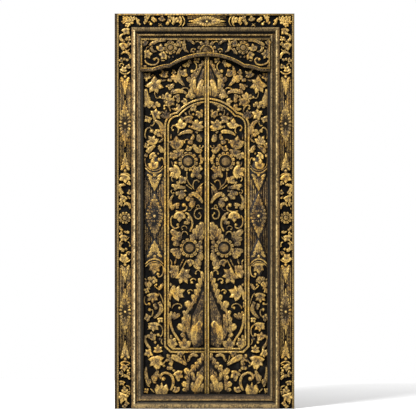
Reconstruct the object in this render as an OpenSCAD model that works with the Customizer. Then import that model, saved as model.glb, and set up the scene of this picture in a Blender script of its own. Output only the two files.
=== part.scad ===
// Carved double-leaf temple door in its own frame.
// Millimetres, +Z up, the carved front faces -Y, the leaves swing inwards to +Y.
// Origin: centre of the frame's width and depth, on the floor under the sill.
// Distances "a" run outwards from the line where the leaves meet, and "d" runs
// inwards from the front plane of the frame.

/* [Overall] */
// Width over the frame
door_w = 1000; // [900:10:1100]
// Height over the frame
door_h = 2200; // [1900:10:2400]
// Depth from the front fillet to the back of the posts
frame_d = 122; // [118:1:150]

/* [Architrave] */
// Plain edge outside the left band
edge_left = 12; // [2:1:20]
// Plain edge outside the right band
edge_right = 2; // [2:1:20]
// Width of the half-round bead round the bands
bead_w = 11; // [8:1:14]
// Carved ground of the side bands
band_w = 70; // [55:1:85]
// Carved ground of the top band
top_band_w = 66; // [55:1:80]
// Depth of the bands' ground below the front
band_recess = 16; // [12:1:20]
// Height of the bold carving on the bands
band_relief = 7; // [4:1:9]
// Thickness of bands and mouldings in front of the posts
face_t = 38; // [36:1:44]

/* [Moulding] */
// Width of the moulding at the sides and top
moulding_w = 65; // [60:1:75]
// Width of the moulding at the bottom
foot_moulding_w = 80; // [60:1:95]
// Radius of the ovolo beside the fillet
ovolo_r = 10; // [8:0.5:11]
// Radius of the cove
cove_r = 6; // [4:0.5:7]
// Radius of the small bead
small_bead_r = 4.5; // [3:0.5:5]
// Width of the slope between bead and lip
slope_w = 5; // [3:0.5:7]
// Thickness of the lip that covers the leaf's edge
lip_t = 8; // [6:0.5:10]

/* [Leaves] */
// Thickness of a leaf at its margins
leaf_t = 40; // [36:1:44]
// Gap between the two leaves
leaf_gap = 3; // [2:0.5:6]
// How far the leaves meet to the right of the opening's middle
meet_shift = 8; // [0:1:12]
// How far the lip covers the hanging edge
lip_cover = 12; // [8:1:14]
// Gap between hanging edge and post
hang_gap = 3; // [2:0.5:5]
// Gap between the lip and the leaf's front
stop_gap = 2; // [1:0.5:3]
// Gap above and below the leaf
end_gap = 4; // [2:0.5:8]
// Depth of the leaf's carved ground below its margins
leaf_recess = 14; // [10:1:16]
// Height of the bold carving over the leaf's ground
leaf_relief = 6; // [3:1:9]
// Radius of the round pivots at the leaf's corners
pivot_r = 14; // [10:0.5:16]
// Length of a pivot
pivot_len = 25; // [18:1:30]
// Clearance round a pivot
pivot_clear = 0.5; // [0.3:0.1:1]
// Clearance at the end of a pivot
pivot_end_clear = 0.5; // [0.3:0.1:0.8]

/* [Panel on the leaf] */
// Outer edge of the double reed, from the meeting line
reed_a = 240; // [200:1:255]
// Width of the outer reed
reed_out_w = 14; // [10:1:16]
// Width of the groove between the reeds
reed_groove_w = 5; // [3:1:6]
// Width of the inner reed
reed_in_w = 12; // [8:1:14]
// Bottom of the reeded panel above the floor
panel_z = 308; // [280:1:340]
// Gap from the clear opening's top down to the panel's arch
panel_head_gap = 324; // [280:1:360]
// Radius of the rounded shoulder
shoulder_r = 80; // [60:1:90]
// Radius of the arch over the panel
arch_r = 222; // [215:1:240]
// Drop of the arch's centre below the shoulder's centre
arch_drop = 64; // [50:1:75]

/* [Header] */
// Height of the header board at its shoulders
header_h = 185; // [160:1:200]
// Thickness of the header's ground board
header_t = 10; // [8:1:12]
// Height of the header's lip and beads over its ground
header_relief = 10; // [6:1:10]
// Rise of the header's middle arch over its shoulders
header_rise = 85; // [60:1:95]
// Width of the header's lip along the arch
header_lip_w = 20; // [14:1:24]
// Gap above the header board
header_gap = 9; // [4:1:12]

/* [Joinery] */
// Length of the posts' tenons
tenon_len = 40; // [30:1:45]
// Thickness of the posts' tenons
tenon_t = 28; // [20:1:34]
// Width of the posts' tenons
tenon_w = 70; // [50:1:90]
// Clearance in mortises, grooves and dowel holes
fit_clear = 0.2; // [0.1:0.05:0.3]
// Radius of the pegs through the tenons
peg_r = 7; // [5:0.5:9]
// Radius of the dowels behind bands and mouldings
dowel_r = 5; // [4:0.5:6]
// Length of those dowels
dowel_len = 26; // [20:1:30]
// Radius of the header's dowels
header_dowel_r = 3; // [2:0.5:4]
// Length of the header's dowels
header_dowel_len = 12; // [10:1:14]
// Radius of the wall anchor holes through the posts
anchor_r = 5.5; // [4:0.5:7]
// Height of the lower anchor holes above the floor
anchor_foot = 450; // [300:10:700]
// Drop of the upper anchor holes below the frame's top
anchor_head = 450; // [300:10:700]

/* [Battens] */
// Height of a batten on the back of a leaf
batten_h = 70; // [60:1:90]
// Thickness of a batten
batten_t = 25; // [18:1:28]
// Depth of the sliding dovetail in the leaf
dovetail_t = 8; // [5:1:10]
// Width of the dovetail at the leaf's face
dovetail_w = 50; // [40:1:54]
// Distance of a batten's outer end from the pivot line
batten_inset = 80; // [76:1:110]
// Distance of a batten's inner end from the meeting line
batten_end = 6; // [4:1:20]

/* [Bolt] */
// Height of the sliding bolt above the floor
bolt_z = 1120; // [1040:5:1250]
// Length of the bolt bar
bolt_len = 240; // [220:5:250]
// Height of the bolt bar
bolt_h = 40; // [30:1:50]
// Thickness of the bolt bar
bolt_t = 24; // [18:1:26]
// Travel of the bolt
bolt_travel = 60; // [45:1:65]
// Clearance round the bolt bar in its guides
bolt_clear = 0.5; // [0.3:0.1:1]
// Wall of the guides and the keeper
guide_wall = 18; // [12:1:22]
// Width of a guide or keeper along the bolt
guide_w = 40; // [30:1:45]
// Radius of the bolt's finger peg
finger_r = 8; // [6:0.5:10]

/* [Hidden] */

EPS = 0.01;
ARC_STEPS = 8;          // straight steps along a quarter circle
BITE = 2;               // how far raised carving is let into its board
pivot_root = 5;         // how far a pivot's rod runs on inside the leaf
tenon_root = 5;         // how far a tenon runs on inside its post

mid_x = (edge_left - edge_right) / 2;              // middle of the opening, from the frame's centre
half_w = (door_w - edge_left - edge_right) / 2;    // outer side of the side beads
band_a = half_w - bead_w;                          // outer side of a side band's ground
moulding_a = band_a - band_w;                      // outer side of the side mouldings
clear_a = moulding_a - moulding_w;                 // half of the clear opening
band_mid_a = (band_a + moulding_a) / 2;
jamb_a = clear_a + lip_cover + hang_gap;           // inner face of a post
lip_w = jamb_a - clear_a;
moulding_top_z = door_h - bead_w - top_band_w;     // outer side of the top moulding
clear_top_z = moulding_top_z - moulding_w;
lintel_z = moulding_top_z - (moulding_w - lip_w);  // underside of the lintel
foot_k = foot_moulding_w / moulding_w;             // the bottom moulding is the same, made wider
sill_h = foot_k * (moulding_w - lip_w);

leaf_d = face_t + stop_gap;                        // front of the leaf's margins
leaf_back_d = leaf_d + leaf_t;
ground_d = leaf_d + leaf_recess;
hang_a = jamb_a - hang_gap;                        // outermost line of the hanging edge
pivot_a = hang_a - leaf_t / 2;
pivot_d = leaf_d + leaf_t / 2;
leaf_z = sill_h + end_gap;
leaf_top_z = lintel_z - end_gap;
leaf_in_a = leaf_gap / 2;
meet_bead_w = bead_w;
meet_bead_a = leaf_in_a + meet_bead_w;             // inner side of the leaf's carved ground
leaf_ground_a = clear_a - 2;
leaf_ground_z = foot_moulding_w - 2;
leaf_ground_top_z = leaf_top_z - 30;

header_d = face_t - lip_t - header_t;              // front of the header's ground
header_top_z = moulding_top_z - (moulding_w - lip_w) - header_gap;
header_z = header_top_z - header_h;                // the header's shoulders
header_a = jamb_a - fit_clear;
header_cusp = 0.575;                               // where arch and side lobe meet, as a share of header_a
header_foot = 0.83;                                // where a side lobe starts
header_lobe = 0.25;                                // height of a side lobe, as a share of the rise
header_rosette_a = header_a * 0.56;
header_rosette_z = header_top_z - 54;
header_rosette_r = 36;

panel_top_z = clear_top_z - panel_head_gap;        // crown of the panel's arch
shoulder_z = panel_top_z - arch_r + arch_drop;     // centre of the rounded shoulders
strip_mid_a = (reed_a + leaf_ground_a) / 2;        // middle of the strip outside the panel
strip_mid_z = (leaf_z + leaf_top_z) / 2 + 6;
strip_reach = 230;                                 // from there to the spears' bases
flower_a = 100;
flower_r = 48;
crown_share = 0.58;                                // a rosette's crown, as a share of its radius
panel_cut = 34;                                    // cut across the panel's lower corners
flower_z = [panel_z + 587, panel_top_z - 357];

motif_z = [540, door_h - 613];                     // middles of the bands' lozenge groups
motif_half = 278;                                  // from a middle to the arcs' crests
band_lozenge_h = 130;                              // half the height of a side band's lozenge
top_lozenge_h = 95;                                // half the length of the top band's lozenge
band_boss_r = 10;
band_rosette_r = 32;
group_arc_rise = 14;
group_arc_w = 8;
mid_rosette_z = (motif_z[0] + motif_z[1]) / 2;

tenon_d = face_t + (frame_d - face_t) / 2;         // middle of the tenons
tenon_a = jamb_a + 70;
peg_pitch = 32;

batten_z = [leaf_z + 255, bolt_z - 220, leaf_top_z - 349];
bolt_d = leaf_back_d + 4.5;                        // front of the bolt bar
bolt_rest_a = 12;                                  // the bar's inner end when drawn back
guide_outer_a = bolt_rest_a + bolt_len - bolt_travel - 27 - guide_w / 2;
guide_inner_a = 30 + guide_w / 2;
keeper_a = 20 + guide_w / 2;
finger_a = guide_outer_a + guide_w / 2 + 5 + finger_r + bolt_travel;
guide_depth = bolt_d + bolt_t + 10 - leaf_back_d;
guide_peg_r = 5;
guide_peg_len = 24;

dark_wood = [0.16, 0.13, 0.10];
gilt_wood = [0.62, 0.48, 0.24];
back_wood = [0.36, 0.27, 0.19];
pale_wood = [0.52, 0.41, 0.28];

// ---- helpers ----

// Y of a depth below the front plane
function y_at(d) = d - frame_d / 2;

// Points of an arc about [cx, cy] from angle a0 to a1
function arc(cx, cy, r, a0, a1, n = ARC_STEPS) =
    [for (i = [0:n]) let (t = a0 + (a1 - a0) * i / n) [cx + r * cos(t), cy + r * sin(t)]];

// The upper point where a circle of radius r1 about c1 meets one of radius r2 about c2
function upper_meet(c1, r1, c2, r2) =
    let (gap = norm(c2 - c1),
         along = (r1 * r1 - r2 * r2 + gap * gap) / (2 * gap),
         off = sqrt(r1 * r1 - along * along),
         u = (c2 - c1) / gap)
    c1 + along * u + off * [-u[1], u[0]];

// Stands a front-view outline up and gives it the depth from d0 to d1
module slab(d0, d1) {
    translate([0, y_at(d1), 0]) rotate([90, 0, 0]) linear_extrude(d1 - d0) children();
}

// Runs a [y, z] section along X from x0 to x1
module along_x(x0, x1) {
    translate([x0, 0, 0]) rotate([90, 0, 90]) linear_extrude(x1 - x0) children();
}

// A round rod along Y from depth d0 to d1
module rod_y(x, z, r, d0, d1) {
    translate([x, y_at(d0), z]) rotate([-90, 0, 0]) cylinder(h = d1 - d0, r = r, $fn = 32);
}

// Places what is modelled left of the opening's middle, on the left (-1) or the right (1)
module on_side(side) {
    if (side < 0) translate([mid_x, 0, 0]) children();
    else translate([mid_x, 0, 0]) mirror([1, 0, 0]) children();
}

// How far the meeting line stands from the opening's middle, in the frame of on_side
function leaf_shift(side) = -side * meet_shift;

// ---- moulding ----

// Section of the moulding: [distance from its outer side, depth]
function moulding_section() =
    let (u1 = moulding_w - lip_w - slope_w,
         u2 = u1 - small_bead_r,
         u3 = u2 - small_bead_r - cove_r,
         u4 = u3 - cove_r - ovolo_r,
         deep = ovolo_r + 2 * cove_r - 4)
    concat([[0, 0]],
           arc(u4, ovolo_r, ovolo_r, -90, 0),
           arc(u3, deep, cove_r, 180, 0),
           arc(u2, deep, small_bead_r, -180, 0),
           [[moulding_w - lip_w, deep + slope_w + 2],
            [moulding_w - lip_w, face_t - lip_t],
            [moulding_w, face_t - lip_t],
            [moulding_w, face_t],
            [0, face_t]]);

module moulding_side(side) {
    color(gilt_wood) on_side(side) difference() {
        intersection() {
            linear_extrude(moulding_top_z)
                polygon([for (p = moulding_section()) [p[0] - moulding_a, y_at(p[1])]]);
            slab(-1, face_t + 1)
                polygon([[-moulding_a, 0], [-clear_a, foot_moulding_w],
                         [-clear_a, clear_top_z], [-moulding_a, moulding_top_z]]);
        }
        side_moulding_dowels(fit_clear);
        header_dowel_rods(fit_clear);
    }
}

module moulding_across(z0, k, corners) {
    color(gilt_wood) translate([mid_x, 0, 0]) difference() {
        intersection() {
            along_x(-moulding_a, moulding_a)
                polygon([for (p = moulding_section()) [y_at(p[1]), z0 + k * p[0]]]);
            slab(-1, face_t + 1) polygon(corners);
        }
        across_moulding_dowels(fit_clear);
    }
}

module moulding_left() { moulding_side(-1); }
module moulding_right() { moulding_side(1); }

module moulding_top() {
    moulding_across(moulding_top_z, -1,
                    [[-moulding_a, moulding_top_z], [-clear_a, clear_top_z],
                     [clear_a, clear_top_z], [moulding_a, moulding_top_z]]);
}

module moulding_bottom() {
    moulding_across(0, foot_k,
                    [[-moulding_a, 0], [moulding_a, 0],
                     [clear_a, foot_moulding_w], [-clear_a, foot_moulding_w]]);
}

// ---- bands ----

// Section of a band board: [distance from the outer side of its bead, depth]
function band_section(ground_w, edge) =
    let (r = bead_w / 2)
    concat([[-edge, r + 1.5], [0, r + 1.5]],
           arc(r, r + 1.5, r, -180, 0),
           [[bead_w, band_recess], [bead_w + ground_w, band_recess],
            [bead_w + ground_w, face_t], [-edge, face_t]]);

// A pointed lozenge with a round boss, on its middle
module lozenge(half_h, half_b) {
    polygon([[0, -half_h], [half_b * 0.45, -half_h * 0.55], [half_b, 0], [half_b * 0.45, half_h * 0.55],
             [0, half_h], [-half_b * 0.45, half_h * 0.55], [-half_b, 0], [-half_b * 0.45, -half_h * 0.55]]);
}

// A spearhead that points up from its base line
module spear(base_half, height) {
    polygon([[-base_half, 0], [base_half, 0], [base_half * 0.45, height * 0.35], [0, height],
             [-base_half * 0.45, height * 0.35]]);
}

// Upper half of a lozenge group, from the lozenge's middle up: a spear that points at it
// and an arc that bulges towards it
module group_half(width, reach) {
    tilt = 2 * atan(group_arc_rise / (width / 2));
    r = (width / 2) / sin(tilt);
    slab(band_recess - band_relief, band_recess + BITE) {
        translate([0, reach - group_arc_rise]) mirror([0, 1]) spear(width * 0.38, reach * 0.40);
        translate([0, reach + r]) polygon(concat(arc(0, 0, r, 270 - tilt, 270 + tilt, 6),
                                                  arc(0, 0, r - group_arc_w, 270 + tilt, 270 - tilt, 6)));
    }
}

// A lozenge on a band, with its round boss
module bossed_lozenge(half_h, half_b) {
    slab(band_recess - band_relief, band_recess + BITE) lozenge(half_h, half_b);
    rod_y(0, 0, band_boss_r, band_recess - band_relief - 3, band_recess);
}

// A whole lozenge group about its middle, running along Z
module lozenge_group(width, reach, half_h) {
    group_half(width, reach);
    mirror([0, 0, 1]) group_half(width, reach);
    bossed_lozenge(half_h, width * 0.47);
}

// A disc with a smaller crown on it, standing "low" and "high" over the ground at depth "base"
module rosette(x, z, r, low, high, base) {
    rod_y(x, z, r, base - low, base + BITE);
    rod_y(x, z, r * crown_share, base - high, base);
}

module side_band_relief() {
    for (z = motif_z) translate([-band_mid_a, 0, z]) lozenge_group(band_w - 2, motif_half, band_lozenge_h);
    rosette(-band_mid_a, mid_rosette_z, band_rosette_r, 3, band_relief, band_recess);
}

module band_side(side, edge) {
    color(dark_wood) on_side(side) difference() {
        union() {
            intersection() {
                linear_extrude(door_h)
                    polygon([for (p = band_section(band_w, edge)) [p[0] - half_w, y_at(p[1])]]);
                slab(-1, face_t + 1)
                    polygon([[-half_w - edge, 0], [-moulding_a, 0], [-moulding_a, moulding_top_z],
                             [-half_w, door_h], [-half_w - edge, door_h]]);
            }
            side_band_relief();
        }
        side_band_dowels(fit_clear);
    }
}

module band_left() { band_side(-1, edge_left); }
module band_right() { band_side(1, edge_right); }

module band_top() {
    mid_z = moulding_top_z + top_band_w / 2;
    color(dark_wood) translate([mid_x, 0, 0]) difference() {
        union() {
            intersection() {
                along_x(-half_w, half_w)
                    polygon([for (p = band_section(top_band_w, 0)) [y_at(p[1]), door_h - p[0]]]);
                slab(-1, face_t + 1)
                    polygon([[-half_w, door_h], [half_w, door_h],
                             [moulding_a, moulding_top_z], [-moulding_a, moulding_top_z]]);
            }
            translate([meet_shift, 0, mid_z]) rotate([0, 90, 0])
                bossed_lozenge(top_lozenge_h, top_band_w * 0.45);
        }
        top_band_dowels(fit_clear);
    }
}

// ---- posts, lintel and sill ----

// The tenons of the left post, grown for their mortises, each with a root inside the post
module tenons(grow) {
    for (z = [sill_h - tenon_len, lintel_z - tenon_root])
        translate([-tenon_a - tenon_w / 2 - grow, y_at(tenon_d) - tenon_t / 2 - grow, z - grow])
            cube([tenon_w + 2 * grow, tenon_t + 2 * grow, tenon_len + tenon_root + 2 * grow]);
}

// The sockets that the left leaf's pivots turn in
module pivot_sockets() {
    depth = pivot_len - end_gap + pivot_end_clear;
    for (z = [sill_h - depth, lintel_z - EPS])
        translate([-pivot_a, y_at(pivot_d), z])
            cylinder(h = depth + EPS, r = pivot_r + pivot_clear, $fn = 48);
}

// Pegs through the left post's tenons
module peg_rods(grow) {
    for (z = [sill_h - tenon_len / 2, lintel_z + tenon_len / 2], dx = [-peg_pitch / 2, peg_pitch / 2])
        rod_y(-tenon_a + dx, z, peg_r + grow, face_t + 12 - grow, frame_d + grow);
}

module jamb(side, edge) {
    outer = half_w + edge;
    color(dark_wood) on_side(side) difference() {
        union() {
            translate([-outer, y_at(face_t), sill_h])
                cube([outer - jamb_a, frame_d - face_t, lintel_z - sill_h]);
            tenons(0);
        }
        peg_rods(fit_clear);
        side_band_dowels(fit_clear);
        side_moulding_dowels(fit_clear);
        for (z = [anchor_foot, door_h - anchor_head])
            translate([-outer - 1, y_at(tenon_d), z]) rotate([0, 90, 0])
                cylinder(h = outer - jamb_a + 2, r = anchor_r, $fn = 32);
    }
}

module jamb_left() { jamb(-1, edge_left); }
module jamb_right() { jamb(1, edge_right); }

// A rail over the frame's whole width, with the posts' mortises
module rail(z0, height) {
    difference() {
        translate([-door_w / 2, y_at(face_t), z0]) cube([door_w, frame_d - face_t, height]);
        for (side = [-1, 1]) on_side(side) {
            tenons(fit_clear);
            peg_rods(fit_clear);
            pivot_sockets();
        }
        translate([mid_x, 0, 0]) {
            top_band_dowels(fit_clear);
            across_moulding_dowels(fit_clear);
        }
    }
}

module lintel() { color(dark_wood) rail(lintel_z, door_h - lintel_z); }
module sill() { color(dark_wood) rail(0, sill_h); }

// ---- pegs and dowels ----

function spread(from, to, count) = [for (i = [0:count - 1]) from + (to - from) * i / (count - 1)];

module face_dowel(x, z, grow) {
    rod_y(x, z, dowel_r + grow, face_t - dowel_len / 2 + 3 - grow, face_t + dowel_len / 2 + 3 + grow);
}

module side_band_dowels(grow) {
    for (z = spread(260, door_h - 300, 4)) face_dowel(-band_mid_a, z, grow);
}

module top_band_dowels(grow) {
    for (x = spread(-300, 300, 4)) face_dowel(x, moulding_top_z + top_band_w / 2, grow);
}

module side_moulding_dowels(grow) {
    for (z = spread(330, door_h - 350, 3)) face_dowel(-moulding_a + dowel_r + 5, z, grow);
}

module across_moulding_dowels(grow) {
    for (x = spread(-250, 250, 3), z = [dowel_r + 6, moulding_top_z - dowel_r - 5]) face_dowel(x, z, grow);
}

module header_dowel_rods(grow) {
    for (z = [header_z + 30, header_top_z - 35])
        rod_y(-clear_a - lip_w / 2, z, header_dowel_r + grow,
              face_t - lip_t - header_dowel_len / 2 - grow, face_t - lip_t + header_dowel_len / 2 + grow);
}

module frame_pegs() { color(pale_wood) for (side = [-1, 1]) on_side(side) peg_rods(0); }

module band_dowels() {
    color(pale_wood) {
        for (side = [-1, 1]) on_side(side) side_band_dowels(0);
        translate([mid_x, 0, 0]) top_band_dowels(0);
    }
}

module moulding_dowels() {
    color(pale_wood) {
        for (side = [-1, 1]) on_side(side) side_moulding_dowels(0);
        translate([mid_x, 0, 0]) across_moulding_dowels(0);
    }
}

module header_dowels() { color(pale_wood) for (side = [-1, 1]) on_side(side) header_dowel_rods(0); }

// ---- header ----

// Lower edge of the header board's left half, from its outer end to the middle, raised by "up"
function header_arch(up) =
    let (cusp_a = header_a * header_cusp,
         foot_a = header_a * header_foot,
         lobe = header_rise * header_lobe,
         rise = header_rise - lobe,
         r = (cusp_a * cusp_a + rise * rise) / (2 * rise),
         sweep = asin(cusp_a / r))
    concat([[-header_a, header_z + up], [-foot_a, header_z + up]],
           [for (t = [0.25:0.25:0.75])
               [-foot_a + (foot_a - cusp_a) * t, header_z + up + lobe * sin(90 * t)]],
           arc(0, header_z + header_rise - r + up, r, 90 + sweep, 90, 12));

// The whole lower edge, left to right
function header_edge(up) =
    let (half = header_arch(up), last = len(half) - 1)
    concat([half[0]],
           [for (i = [1:last]) [meet_shift + half[i][0], half[i][1]]],
           [for (i = [last - 1:-1:1]) [meet_shift - half[i][0], half[i][1]]],
           [[-half[0][0], half[0][1]]]);

module header_panel() {
    front = header_d - header_relief;
    back = face_t - lip_t;
    side_bead = bead_w;
    color(dark_wood) translate([mid_x, 0, 0]) difference() {
        union() {
            slab(header_d, back)
                polygon(concat(header_edge(0), [[header_a, header_top_z], [-header_a, header_top_z]]));
            slab(front, header_d + BITE)
                polygon(concat(header_edge(0), [for (i = [len(header_edge(0)) - 1:-1:0])
                                                header_edge(header_lip_w)[i]]));
            slab(front, header_d + BITE) {
                translate([-header_a, header_top_z - side_bead]) square([2 * header_a, side_bead]);
                for (x = [-header_a, header_a - side_bead])
                    translate([x, header_z + header_lip_w / 2])
                        square([side_bead, header_h - header_lip_w / 2 - side_bead / 2]);
            }
            for (a = [-header_rosette_a, header_rosette_a])
                rosette(meet_shift + a, header_rosette_z, header_rosette_r, 3, 6, header_d);
        }
        header_dowel_rods(fit_clear);
        mirror([1, 0, 0]) header_dowel_rods(fit_clear);
    }
}

// ---- leaves ----

// Front-view outline of the reeded panel's left half, shrunk by "in" from its outer edge
function panel_outline(in) =
    let (shoulder = [shoulder_r - reed_a, shoulder_z],
         arch = [0, shoulder[1] - arch_drop],
         rs = shoulder_r - in,
         ra = arch_r - in,
         cusp = upper_meet(shoulder, rs, arch, ra),
         from_shoulder = cusp - shoulder,
         from_arch = cusp - arch,
         last = 90 + asin((leaf_in_a + 4) / ra))
    concat([[-leaf_in_a - 4, panel_z + in], [-reed_a + panel_cut, panel_z + in],
            [-reed_a + in, panel_z + panel_cut]],
           arc(shoulder[0], shoulder[1], rs, 180, atan2(from_shoulder[1], from_shoulder[0])),
           [for (p = arc(arch[0], arch[1], ra, atan2(from_arch[1], from_arch[0]), last))
               if (p[0] > cusp[0] + 1) p]);

module panel_ring(outer_in, inner_in) {
    difference() {
        polygon(panel_outline(outer_in));
        polygon(panel_outline(inner_in));
    }
}

// Half of a lotus that stands on its base beside the meeting line
module lotus_half(base, height) {
    inner = meet_bead_a - 1;
    flare = base - inner;
    polygon(concat([[-inner, 0], [-base, 0]],
                   [for (t = [0.15:0.15:0.9])
                       [-inner - flare * pow(1 - t, 0.8) * (1 + 0.25 * sin(180 * t)), height * t]],
                   [[-inner, height]]));
}

module leaf_relief() {
    top = ground_d - leaf_relief;
    slab(top, ground_d + BITE) {
        panel_ring(0, reed_out_w);
        panel_ring(reed_out_w + reed_groove_w, reed_out_w + reed_groove_w + reed_in_w);
        translate([0, leaf_ground_z - 1]) lotus_half(128, panel_z - leaf_ground_z);
        translate([0, panel_z + 46]) lotus_half(150, 405);
        translate([0, panel_top_z - 2]) lotus_half(98, 200);
        translate([-strip_mid_a, strip_mid_z]) lozenge(130, 46);
        for (down = [0, 1])
            translate([-strip_mid_a, strip_mid_z + (2 * down - 1) * strip_reach])
                mirror([0, down]) spear(42, 88);
    }
    for (z = flower_z) rosette(-flower_a, z, flower_r, leaf_relief, leaf_relief + 3, ground_d);
}

module leaf(side) {
    r = leaf_t / 2;
    in_x = leaf_shift(side) - leaf_in_a;
    color(gilt_wood) on_side(side) difference() {
        union() {
            difference() {
                translate([0, 0, leaf_z]) linear_extrude(leaf_top_z - leaf_z)
                    polygon(concat(arc(-pivot_a, y_at(pivot_d), r, 270, 90, 2 * ARC_STEPS),
                                   [[in_x, y_at(leaf_back_d)], [in_x, y_at(leaf_d)]]));
                slab(leaf_d - 1, ground_d)
                    translate([-leaf_ground_a, leaf_ground_z])
                        square([leaf_ground_a + in_x - meet_bead_w, leaf_ground_top_z - leaf_ground_z]);
            }
            translate([leaf_shift(side), 0, 0]) leaf_relief();
            for (z = [leaf_z - pivot_len, leaf_top_z - pivot_root])
                translate([-pivot_a, y_at(pivot_d), z])
                    cylinder(h = pivot_len + pivot_root, r = pivot_r, $fn = 48);
        }
        for (z = batten_z) along_x(-pivot_a + batten_inset - fit_clear, leaf_shift(side))
            polygon([for (p = dovetail(fit_clear)) [p[0], p[1] + z]]);
        guide_peg_rods(side, fit_clear);
    }
}

module leaf_left() { leaf(-1); }
module leaf_right() { leaf(1); }

// ---- battens ----

// Section of the dovetail: [y, z] about the batten's middle
function dovetail(grow) =
    let (y0 = y_at(leaf_back_d), neck = dovetail_w / 2 + grow, tail = neck + dovetail_t * 0.6)
    [[y0 + grow, -neck], [y0 - dovetail_t - grow, -tail], [y0 - dovetail_t - grow, tail], [y0 + grow, neck]];

module batten(side, z) {
    h = batten_h / 2;
    y0 = y_at(leaf_back_d);
    y1 = y0 + batten_t;
    chamfer = 6;
    tail = dovetail(0);
    color(back_wood) on_side(side) translate([0, 0, z])
        along_x(-pivot_a + batten_inset, leaf_shift(side) - batten_end)
        polygon([[y0, -h], tail[0], tail[1], tail[2], tail[3], [y0, h],
                 [y1 - chamfer, h], [y1, h - chamfer], [y1, chamfer - h], [y1 - chamfer, -h]]);
}

module batten_left_lower() { batten(-1, batten_z[0]); }
module batten_left_middle() { batten(-1, batten_z[1]); }
module batten_left_upper() { batten(-1, batten_z[2]); }
module batten_right_lower() { batten(1, batten_z[0]); }
module batten_right_middle() { batten(1, batten_z[1]); }
module batten_right_upper() { batten(1, batten_z[2]); }

// ---- bolt ----

module bolt_bar() {
    color(back_wood) translate([mid_x, 0, bolt_z]) difference() {
        translate([-bolt_rest_a - bolt_len, y_at(bolt_d), -bolt_h / 2]) cube([bolt_len, bolt_t, bolt_h]);
        rod_y(-finger_a, 0, finger_r + fit_clear, bolt_d + bolt_t / 2 - fit_clear, bolt_d + bolt_t + 1);
    }
}

module bolt_finger_peg() {
    color(pale_wood) translate([mid_x, 0, bolt_z])
        rod_y(-finger_a, 0, finger_r, bolt_d + bolt_t / 2, frame_d);
}

// Pegs that hold the guides (left leaf) or the keeper (right leaf)
module guide_peg_rods(side, grow) {
    places = side < 0 ? [guide_outer_a, guide_inner_a] : [keeper_a];
    for (a = places, dz = [-1, 1])
        rod_y(-a, bolt_z + dz * (bolt_h / 2 + bolt_clear + guide_wall / 2), guide_peg_r + grow,
              leaf_back_d - guide_peg_len / 2 - grow, leaf_back_d + guide_peg_len / 2 + grow);
}

// A block with a window for the bolt, at distance "a" on one leaf
module bolt_loop(side, a) {
    outer_h = bolt_h + 2 * bolt_clear + 2 * guide_wall;
    window_h = bolt_h + 2 * bolt_clear;
    color(back_wood) on_side(side) difference() {
        translate([-a - guide_w / 2, y_at(leaf_back_d), bolt_z - outer_h / 2])
            cube([guide_w, guide_depth, outer_h]);
        translate([-a - guide_w / 2 - 1, y_at(bolt_d) - bolt_clear, bolt_z - window_h / 2])
            cube([guide_w + 2, bolt_t + 2 * bolt_clear, window_h]);
        guide_peg_rods(side, fit_clear);
    }
}

module bolt_guide_outer() { bolt_loop(-1, guide_outer_a); }
module bolt_guide_inner() { bolt_loop(-1, guide_inner_a); }
module bolt_keeper() { bolt_loop(1, keeper_a); }

module guide_pegs() { color(pale_wood) on_side(-1) guide_peg_rods(-1, 0); }
module keeper_pegs() { color(pale_wood) on_side(1) guide_peg_rods(1, 0); }

sill();
lintel();
jamb_left();
jamb_right();
band_left();
band_right();
band_top();
moulding_left();
moulding_right();
moulding_top();
moulding_bottom();
header_panel();
frame_pegs();
band_dowels();
moulding_dowels();
header_dowels();
leaf_left();
leaf_right();
batten_left_lower();
batten_left_middle();
batten_left_upper();
batten_right_lower();
batten_right_middle();
batten_right_upper();
bolt_bar();
bolt_finger_peg();
bolt_guide_outer();
bolt_guide_inner();
bolt_keeper();
guide_pegs();
keeper_pegs();
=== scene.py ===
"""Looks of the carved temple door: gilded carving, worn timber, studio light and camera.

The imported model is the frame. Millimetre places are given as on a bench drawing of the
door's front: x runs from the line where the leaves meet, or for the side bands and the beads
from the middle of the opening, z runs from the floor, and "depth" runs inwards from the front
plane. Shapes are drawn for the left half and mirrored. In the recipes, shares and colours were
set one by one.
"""

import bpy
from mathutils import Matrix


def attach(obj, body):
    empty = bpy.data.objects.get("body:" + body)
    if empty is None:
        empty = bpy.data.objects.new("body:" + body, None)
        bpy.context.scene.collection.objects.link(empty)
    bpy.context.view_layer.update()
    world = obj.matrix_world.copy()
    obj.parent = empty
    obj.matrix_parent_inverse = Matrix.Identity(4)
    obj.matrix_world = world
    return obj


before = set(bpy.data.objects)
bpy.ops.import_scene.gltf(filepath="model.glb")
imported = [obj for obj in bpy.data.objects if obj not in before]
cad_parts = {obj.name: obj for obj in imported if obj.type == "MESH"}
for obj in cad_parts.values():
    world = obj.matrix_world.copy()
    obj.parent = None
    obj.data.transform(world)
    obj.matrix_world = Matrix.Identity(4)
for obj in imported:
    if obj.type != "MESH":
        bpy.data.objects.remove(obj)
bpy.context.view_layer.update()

import logging
import math
import random
from dataclasses import dataclass
from enum import Enum

import bmesh
import bpy
from mathutils import Vector

log = logging.getLogger("temple_door")

Point = tuple[float, float]
Colour = tuple[float, float, float]

MM = 0.001
PER_METRE = 1000.0
OPENING_X = 5.0
MEET_X = 13.0
FRONT_DEPTH = 61.0
MOULDING_BACK = (36.0, 37.6)


def linear(red: int, green: int, blue: int) -> Colour:
    """Turns a paint-chart colour, 0 to 255, into the shader's linear colour."""
    def channel(value: float) -> float:
        """One channel of the colour."""
        share = value / 255
        return share / 12.92 if share <= 0.04045 else ((share + 0.055) / 1.055) ** 2.4
    return channel(red), channel(green), channel(blue)


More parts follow.
